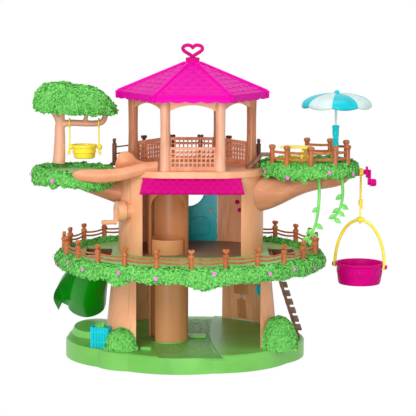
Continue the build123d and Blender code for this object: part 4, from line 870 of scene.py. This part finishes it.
def heart_block(centre, facing, width, height, thick):
    """A solid heart that stands upright and looks along a level direction, with rounded faces."""
    across, up = heart(width, height, 28)
    side = np.array([-facing[1], facing[0], 0])
    middle = np.array([0, 0, height * 0.55])
    rings = []
    for out, size in ((-0.5, 0.8), (-0.32, 1), (0.32, 1), (0.5, 0.8)):
        outline = across[:, None] * side + up[:, None] * np.array([0, 0, 1]) - middle
        rings.append(np.array(centre) + middle + size * outline + out * thick * np.array([*facing, 0]))
    return grid(rings, round_v=True, caps=True)


def sag(start, end, drop, count=9):
    """A line between two points that hangs by a drop at its middle, as a parabola."""
    share = np.linspace(0, 1, count)[:, None]
    return between(start, end, share) - np.array([0, 0, 4 * drop]) * share * (1 - share)


fence_parts = []
fence_points = []
for index in range(fence_posts):
    angle = math.radians(-90 + 15 * index)
    facing = np.array([math.cos(angle), math.sin(angle)])
    spot = np.array([deck_centre[0] + deck_half[0] * facing[0], deck_centre[1] + deck_half[1] * facing[1]])
    fence_points.append(spot)
    fence_parts.append(lathe(post_profile, spot, sides=18))
    fence_parts.append(heart_block((*spot, 194.6), facing, 10.6, 9.4, 5.4))
for index, spot in enumerate(fence_points):
    following = fence_points[(index + 1) % fence_posts]
    for height, drop in ((190, 2.4), (184.5, 2.8)):
        fence_parts.append(tube(sag((*spot, height), (*following, height), drop), 1.5, sides=8))
put(
    "deck_fence",
    join(fence_parts),
    fence_brown,
    replaced=["deck_fence_front", "deck_fence_back", "deck_fence_left", "deck_fence_right"],
)

# Back balcony fence: heart posts and two rails in dark brown plastic, plugged into the balcony's floor and
# seen over the gazebo's lattices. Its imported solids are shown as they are.
coat(dark_brown, "balcony_fence")

# Right platform fence: eight round chestnut posts with turned caps and two flat rails of eight-sided
# section. One moulding that plugs into the platform.
right_post_profile = ((4, 304), (3.8, 308), (3.8, 338), (5.2, 339), (5.5, 341.6), (4.8, 344), (1.5, 345))
rail_section = ((-0.9, -1.6), (-0.5, -2), (0.5, -2), (0.9, -1.6), (0.9, 1.6), (0.5, 2), (-0.5, 2),
                (-0.9, 1.6))
right_parts = []
right_points = []
for degree in (211, 236.5, 268, 300, 323, 30, 58, 89):
    angle = math.radians(degree)
    spot = np.array(right_centre) + np.array([72 * math.cos(angle), 73 * math.sin(angle)])
    right_points.append(spot)
    right_parts.append(lathe(right_post_profile, spot, sides=20))
for spot, following in zip(right_points, right_points[1:]):
    way = (following - spot) / np.linalg.norm(following - spot)
    side = np.array([-way[1], way[0]])
    for height in (334, 324):
        line = sag((*spot, height), (*following, height), 0.8, 7)
        rings = [[point + (*(out * side), up) for out, up in rail_section] for point in line]
        right_parts.append(grid(rings, round_v=True, caps=True))
put("platform_fence", join(right_parts), fence_brown, replaced=["right_fence"])

# Tree: a forked tan trunk with a long limb for the swing, one moulding plugged into the left platform. The
# limbs are tubes melted into one skin and smoothed where they meet.
limb_tan = plastic("limb_tan", (244, 187, 156), (209, 143, 110), rough=0.38, scale=26, stretch=0.2)
trunk_line = ((-211, 30, 306), (-210, 30, 318), (-209, 30, 345), (-209, 30, 368))
left_fork = ((-209, 30, 366), (-214, 30, 382), (-226, 30, 398))
right_fork = ((-209, 30, 366), (-207, 31, 380), (-204, 32, 396))
swing_limb = ((-207, 30, 370), (-190, 30, 372), (-160, 30, 371), (-142, 30, 373), (-136, 30, 382),
              (-135, 30, 393))
twig = ((-168, 30, 374), (-166, 30, 384), (-162, 31, 394))
tree_parts = []
for line, count, thick, thin, sides in (
    (trunk_line, 16, 10.8, 8, 20),
    (left_fork, 10, 6, 4.2, 12),
    (right_fork, 10, 7.5, 5, 12),
    (swing_limb, 30, 5.8, 4.4, 12),
    (twig, 8, 3.6, 3.6, 12),
):
    tree_parts.append(tube(curve(line, count), np.linspace(thick, thin, count), sides))
tree = put("tree_limbs", join(tree_parts), limb_tan, replaced=["tree_trunk"], sharp=180)
melt = tree.modifiers.new("melt", "REMESH")
melt.mode = "VOXEL"
melt.voxel_size = 0.0011
smoothing = tree.modifiers.new("smoothing", "SMOOTH")
smoothing.iterations = 8
smoothing.factor = 0.7
melted = bpy.data.meshes.new_from_object(tree.evaluated_get(bpy.context.evaluated_depsgraph_get()))
tree.modifiers.clear()
tree.data = melted
melted.shade_smooth()

# Swing: a yellow tub with a rolled rim, hung from the limb by two straps that loop over it and end in knots
# beside the tub. The tub and its straps are one soft moulding.
yellow = plastic("yellow", (255, 242, 77), (255, 222, 51), rough=0.3, scale=60, stretch=1)
swing_x = -169.5
swing_y = 30
tub_profile = ((2, 315), (15, 315), (16.8, 316.2), (17.6, 320), (19.2, 332), (20.4, 333), (21, 335),
               (20.4, 337), (19, 337), (18.2, 334), (16.4, 320), (15, 317.4), (2, 317))
knot_radii = (1, 2.4, 3.4, 3.8, 3.9, 3.8, 3.4, 2.4, 1)
band = circle((swing_x, swing_y, 325), 19, (1, 0, 0), (0, 1, 0), 48)
swing_parts = [lathe(tub_profile, (swing_x, swing_y), sides=48), tube(band, 0.9, sides=8, closed=True)]
for side in (-1, 1):
    strap_x = swing_x + 23.5 * side
    strap = [(strap_x, swing_y, z) for z in (322, 330, 345, 363, 368.5)]
    knot = curve([(strap_x + out, swing_y, z) for out, z in ((0, 328), (1.5, 333), (0, 338))], 9)
    lug = [(strap_x - 4 * side, swing_y, 333), (strap_x, swing_y, 333)]
    tail_steps = ((0, 0, 329), (2.5, 1, 325), (2, 1, 320))
    tail = [(strap_x + out * side, swing_y - near, z) for out, near, z in tail_steps]
    loop = circle((strap_x, swing_y, 372), 6.6, (0, 1, 0), (0, 0, 1), 28)
    swing_parts += [tube(strap, 1.3), tube(knot, knot_radii), tube(lug, 2.2), tube(curve(tail, 8), 1.3)]
    swing_parts.append(tube(loop, 1.3, closed=True))
put("swing_tub", join(swing_parts), yellow, body="swing", replaced=["swing"])

# Bark chute: a smooth orange-tan channel from the gazebo down to the left platform, moulded in one and
# hooked on both. Its near wall is a long log and its far wall a short hump.
bark_orange = plastic("bark_orange", (229, 156, 112), (207, 132, 90), rough=0.34, scale=34, stretch=1)


def slab(top, bottom, front, back, round_edge=2.2, count=60):
    """An upright slab between a top and a bottom line of (x, z), with its four long edges rounded."""
    upper = curve(top, count)
    lower = curve(bottom, count)
    rings = []
    for (x, high), (_, low) in zip(upper, lower):
        low = min(low, high - 0.4)
        small = min(round_edge, 0.45 * (high - low))
        near = [(front + small, low), (front, low + small), (front, high - small), (front + small, high)]
        far = [(back - small, high), (back, high - small), (back, low + small), (back - small, low)]
        rings.append([(x, y, z) for y, z in near + far])
    return grid(rings, round_v=True, caps=True)


near_wall = slab(
    ((-50, 320), (-68, 318.6), (-86, 314.5), (-110, 309), (-138, 307), (-164, 306.5), (-178, 304.5),
     (-184, 299)),
    ((-50, 303), (-68, 299.5), (-86, 294.5), (-110, 288.5), (-138, 285.5), (-164, 287.5), (-178, 291),
     (-184, 297)),
    front=-63,
    back=-58,
)
far_wall = slab(
    ((-50, 314), (-66, 314), (-82, 318), (-92, 328), (-102, 331), (-112, 327), (-118, 312)),
    ((-50, 302), (-66, 301), (-82, 300), (-92, 299), (-102, 298), (-112, 297), (-118, 297)),
    front=-20,
    back=-15,
)
floor_rows = []
for x, z in curve(((-50, 305.5), (-80, 304.5), (-112, 302), (-150, 299), (-178, 298.6)), 40):
    narrow = 0 if x > -118 else 8 * (-118 - x) / 60
    upper_side = [(-60, 0), (-52, -1.2), (-40, -1.6), (-28 - narrow, -1.2), (-17 - narrow, 0.6)]
    lower_side = [(-17 - narrow, -3.4), (-40, -4), (-60, -3.4)]
    floor_rows.append([(x, y, z + lift) for y, lift in upper_side + lower_side])
chute_floor = grid(floor_rows, round_v=True, caps=True)
put("chute_channel", join([near_wall, far_wall, chute_floor]), bark_orange, replaced=["bark_chute"], sharp=60)

# Picnic table and its two benches: yellow boards on splayed legs, one moulding that stands on the right
# platform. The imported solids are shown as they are.
coat(yellow, "picnic_table")

# Umbrella: a moulded dome of eight gores in turn teal and white, with a knob, over a white rod. The rod
# stands in a ribbed teal socket on a knuckle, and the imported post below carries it.
white_plastic = plastic("white_plastic", (214, 233, 231), (202, 222, 219), rough=0.26, scale=40, glow=0.2)
umbrella_x = 237
umbrella_y = 18
rod_x = 236
knuckle_level = 352
gores = 8
gore_start = math.radians(-90 + 10 - 22.5)
rise = np.linspace(0, 1, 18)[:, None]
turn = np.linspace(0, 2 * np.pi, gores * 12, endpoint=False)[None, :] + gore_start
swell = abs(np.sin(gores / 2 * (turn - gore_start)))
reach = 57 * np.sin(rise * np.pi / 2) ** 0.92 * (1 - 0.02 * (1 - swell) * rise)
height = 402.4 + 20.4 * np.cos(rise * np.pi / 2) ** 1.05 + 0.9 * swell * rise - 3.6 * swell * rise**10
dome_centre = (umbrella_x, umbrella_y)
outer = around(dome_centre, reach, height, turn)
inner = around(dome_centre, 0.975 * reach, height - 1.5, turn)
dome = put(
    "umbrella_dome",
    grid(np.concatenate([outer, inner[::-1]]), round_v=True),
    teal,
    body="umbrella",
    replaced=["umbrella_canopy"],
    sharp=60,
)
dome.data.materials.append(white_plastic)
for face in dome.data.polygons:
    way = math.atan2(face.center.y - umbrella_y / 1000, face.center.x - umbrella_x / 1000)
    gore = (way - gore_start) % (2 * math.pi) / (2 * math.pi / gores)
    face.material_index = int(gore) % 2
knob_profile = ((3, 421), (4.4, 422), (4.6, 424), (3.4, 425.4), (2.8, 426.6), (1, 427.6))
put("umbrella_knob", lathe(knob_profile, dome_centre, sides=24), teal, body="umbrella")
rod = lathe(((2, 364), (2, 421)), (rod_x, umbrella_y), sides=20)
put("umbrella_rod", rod, white_plastic, body="umbrella", replaced=["umbrella_pole"])
socket_profile = ((4, 353), (5.2, 354), (5.4, 358), (5.4, 366), (5.9, 367), (5.9, 369.5), (5, 370.5),
                  (2.2, 371))
knuckle = tube([(rod_x, umbrella_y + out, knuckle_level) for out in (-4.6, 4.6)], 4.6, sides=24)
socket = join([lathe(socket_profile, (rod_x, umbrella_y), sides=28), knuckle])
put("umbrella_socket", socket, teal, body="umbrella")
coat(teal, "umbrella_post")

# Vines: two stems in glossy green plastic that hang under the right platform, each with alternate pointed
# leaves. One moulding, plugged into the branch.
vine_green = plastic("vine_green", (134, 229, 110), (101, 205, 86), rough=0.32, scale=90)
leaf_section = ((-1, 0.1), (-0.5, 0.5), (0, 1.0), (0.5, 0.5), (1, 0.1), (0.5, -0.5), (-0.5, -0.5))
vine_leaves = 6


def big_leaf(stalk, way, face, length):
    """A pointed oval leaf with a raised rib: its half width follows a sine and its tip curls down."""
    way = np.array(way) / np.linalg.norm(way)
    face = np.array(face) - way * (np.array(face) @ way)
    face = face / np.linalg.norm(face)
    side = np.cross(way, face)
    rows = []
    for share in np.linspace(0.02, 0.99, 9):
        half = 0.28 * length * math.sin(math.pi * share**0.8) + 0.15
        middle = np.array(stalk) + share * length * way - 0.12 * length * share**2 * face
        rows.append([middle + out * half * side + up * face for out, up in leaf_section])
    return grid(rows, round_v=True, caps=True)


vine_parts = []
rng = np.random.default_rng(41)
for route in (
    ((205, -40, 299.7), (206, -42, 262), (203, -42, 228), (196, -42, 205), (188, -44, 192)),
    ((241, -33, 299.7), (244, -36, 268), (240, -37, 244), (230, -38, 226)),
):
    line = curve(route, 60)
    vine_parts.append(tube(line, np.linspace(2.8, 1.7, 60)))
    for index in range(vine_leaves):
        spot = 22 if index == vine_leaves - 1 else int(58 - index * 34 / vine_leaves)
        ahead = line[spot + 1] - line[spot - 1]
        ahead = ahead / np.linalg.norm(ahead)
        way = 0.6 * ahead + (-1) ** index * np.array([0.95, -0.15, 0.1])
        vine_parts.append(big_leaf(line[spot], way, (0, -1, 0.25), rng.uniform(12, 15)))
put("vine_stems", join(vine_parts), vine_green, replaced=["vines"])

# Hoist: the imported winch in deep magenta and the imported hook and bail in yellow. Added here are the cord's
# turns on the drum, the knot and tail where it is tied to the hook, and the heart on the bail's top.
coat(deep_magenta, "winch_bracket", "winch_drum")
coat(yellow, "hoist_hook", "basket_bail")
wind = np.linspace(0, 2 * np.pi * 4, 120)
coil = np.stack([273.6 + 5.6 * wind / wind[-1] - 0.3, 5.3 * np.cos(wind), 297 + 5.3 * np.sin(wind)], axis=1)
put("rope_turns", tube(coil, 1.2, sides=8), rope_yellow, body="winch")
tail = curve(((276, -2, 252), (278.5, -3, 248), (278, -3, 242), (280, -3, 238)), 14)
wind = np.linspace(0, 2 * np.pi * 3, 60)
wrap = np.stack([rope_x + 2.6 * np.cos(wind), 2.6 * np.sin(wind), 246 + 6 * wind / wind[-1]], axis=1)
put("rope_knot", join([tube(tail, 1.1, sides=8), tube(wrap, 1.2, sides=8)]), rope_yellow, body="hoist")
bail_turn = math.radians(-24)
bail_way = np.array([math.cos(bail_turn), math.sin(bail_turn), 0])
bail_facing = (bail_way[1], -bail_way[0])
put("bail_heart", heart_block((rope_x, 0, 213), bail_facing, 13, 11, 7), yellow, body="hoist")

# Basket: a deep magenta tub with a rolled rim and a row of ten raised hearts, moulded in one. Two round lugs
# at its sides turn in the bail.
hearts = 10
basket_profile = curve(
    ((3, 116), (30, 116), (33.4, 117), (34.6, 121), (35.6, 130), (37, 143), (37.6, 145.5), (39.4, 147),
     (39.6, 149.5), (38, 150.4), (36.4, 149), (35.2, 143), (33.4, 128), (31.6, 119.5), (28, 118.4),
     (3, 118.2)),
    90,
)
turn = np.linspace(0, 2 * np.pi, 160, endpoint=False)[None, :]
outside = np.arange(90)[:, None] < 50
level = (basket_profile[:, 1:] - 132) / 5.2
across = ((turn / (2 * np.pi) * hearts) % 1 - 0.5) * 24 / 5.5
in_heart = (across**2 + (level - 0.75 * np.sqrt(abs(across))) ** 2) < 1.0
reach = basket_profile[:, :1] + 0.9 * in_heart * outside
tub = grid(around((rope_x, 0), reach, basket_profile[:, 1:], turn), round_v=True, caps=True)
lugs = [
    tube([np.array([rope_x, 0, 145]) + out * bail_way for out in ends], radius, sides=20)
    for ends, radius in (((36, 44.5), 2.2), ((-36, -44.5), 2.2), ((44, 46), 3.4), ((-44, -46), 3.4))
]
put("basket_tub", join([tub] + lugs), deep_magenta, body="basket", replaced=["basket"], sharp=50)

# Slide: a deep trough in glossy dark green that turns down from the hatch to its landing on the base, with
# a leaf-like lip along its outer edge. One moulding, hooked on the deck.
slide_green = plastic("slide_green", (4, 165, 13), (0, 143, 4), rough=0.22, scale=12, stretch=1, shine=0.12)
slide_thick = 1.6
stations = curve(
    ((-146, -40, 156.5, 18.5, 6.2, 0), (-149, -24, 139, 22, 18, 1), (-158, 12, 104, 28, 28, 13),
     (-166, 52, 69, 31, 28, 25), (-170, 92, 40.5, 31, 20, 16)),
    44,
)
slide_rows = []
for x, y, level, half, wall, lip in stations:
    row = [(x - half - lip, y, level + wall - 0.5 * lip), (x - half - 0.6 * lip, y, level + wall + 0.3 * lip)]
    for quarter in np.linspace(-1, 1, 19) * np.pi / 2:
        row.append((x + half * np.sin(quarter), y, level + wall * (1 - np.cos(quarter)) ** 0.85))
    row.append((x + half + 1, y, level + wall + 1))
    slide_rows.append(row + [(px, py, pz + slide_thick) for px, py, pz in row[::-1]])
trough = grid(slide_rows, round_v=True, caps=True)
put("slide_trough", trough, slide_green, replaced=["green_slide"], sharp=60)

# Planter: a teal picket box seated on the base beside the side arch, with dark soil and a small green
# plant. Each of its four sides is a row of round-topped pickets on two rails, moulded in one.
planter_centre = np.array([-139, -85])
planter_long = 14
planter_short = 8.5
planter_turn = math.radians(-14)
planter_way = np.array([math.cos(planter_turn), math.sin(planter_turn)])
planter_side = np.array([-planter_way[1], planter_way[0]])
picket_top = 61.5
soil_top = 54


def upright_box(centre, way, half_long, half_thick, low, high, crown=0):
    """An upright board along a level way, with eased edges and a top that may rise to a crown."""
    side = np.array([-way[1], way[0]])
    rows = []
    for out, shrink in ((-1, 0.5), (-0.6, 0), (0.6, 0), (1, 0.5)):
        far = half_long - shrink
        shoulder = high - 0.25 * crown - shrink
        outline = [(-far, low), (far, low), (far, high - crown), (0.5 * half_long, shoulder),
                   (0, high - shrink), (-0.5 * half_long, shoulder), (-far, high - crown)]
        rows.append([(*(centre + u * way + out * half_thick * side), z) for u, z in outline])
    return grid(rows, round_v=True, caps=True)


planter_parts = []
for offset, along, count, half in (
    (-planter_short * planter_side, planter_way, 6, planter_long),
    (planter_short * planter_side, planter_way, 6, planter_long),
    (-planter_long * planter_way, planter_side, 4, planter_short),
    (planter_long * planter_way, planter_side, 4, planter_short),
):
    step = 2 * half / count
    for index in range(count):
        spot = planter_centre + offset + along * (-half + step * (index + 0.5))
        picket = upright_box(spot, along, 0.47 * step, 1.1, base_top + 0.3, picket_top, crown=1.4)
        planter_parts.append(picket)
    for height in (35, 51):
        rail = upright_box(planter_centre + 1.05 * offset, along, half, 0.9, height, height + 3.4)
        planter_parts.append(rail)
put("planter_pickets", join(planter_parts), teal, replaced=["planter"], sharp=35)
soil_corners = [
    planter_centre + u * planter_way + w * planter_side
    for u, w in ((-13.4, -7.9), (13.4, -7.9), (13.4, 7.9), (-13.4, 7.9))
]
soil = [[(*corner, z) for corner in soil_corners] for z in (28.4, soil_top)]
put("planter_soil", grid(soil, round_v=True, caps=True), dark_brown)
sprigs = []
rng = np.random.default_rng(51)
for index in range(14):
    angle = 2.4 * index
    spot = planter_centre + np.array([5 * math.cos(angle), 3 * math.sin(angle)]) * (index / 14)
    way = (0.7 * math.cos(angle), 0.7 * math.sin(angle), 1.1)
    face = (math.cos(angle), math.sin(angle), -0.4)
    sprigs.append(big_leaf((*spot, soil_top), way, face, rng.uniform(9, 15)))
put("planter_plant", join(sprigs), vine_green)

# Room fittings: two round magenta pegs on the upper room's right wall and a teal disc on the ground room's
# right wall. Each is a short turned stud, pressed into its wall.
pegs = [
    tube([(x - 0.55 * out, y - 0.83 * out, z) for out in (-1, 3.5, 4.6)], (3.6, 3.6, 2.2), sides=20)
    for x, y, z in ((81.5, 95, 235.5), (86, 91.5, 222.5))
]
put("wall_pegs", join(pegs), deep_magenta)
disc = [(118 - 1.5 * out, 62 - out, 93) for out in (-4, 1, 2, 2.4)]
put("wall_disc", tube(disc, (9, 9, 7.5, 3), sides=28), teal)
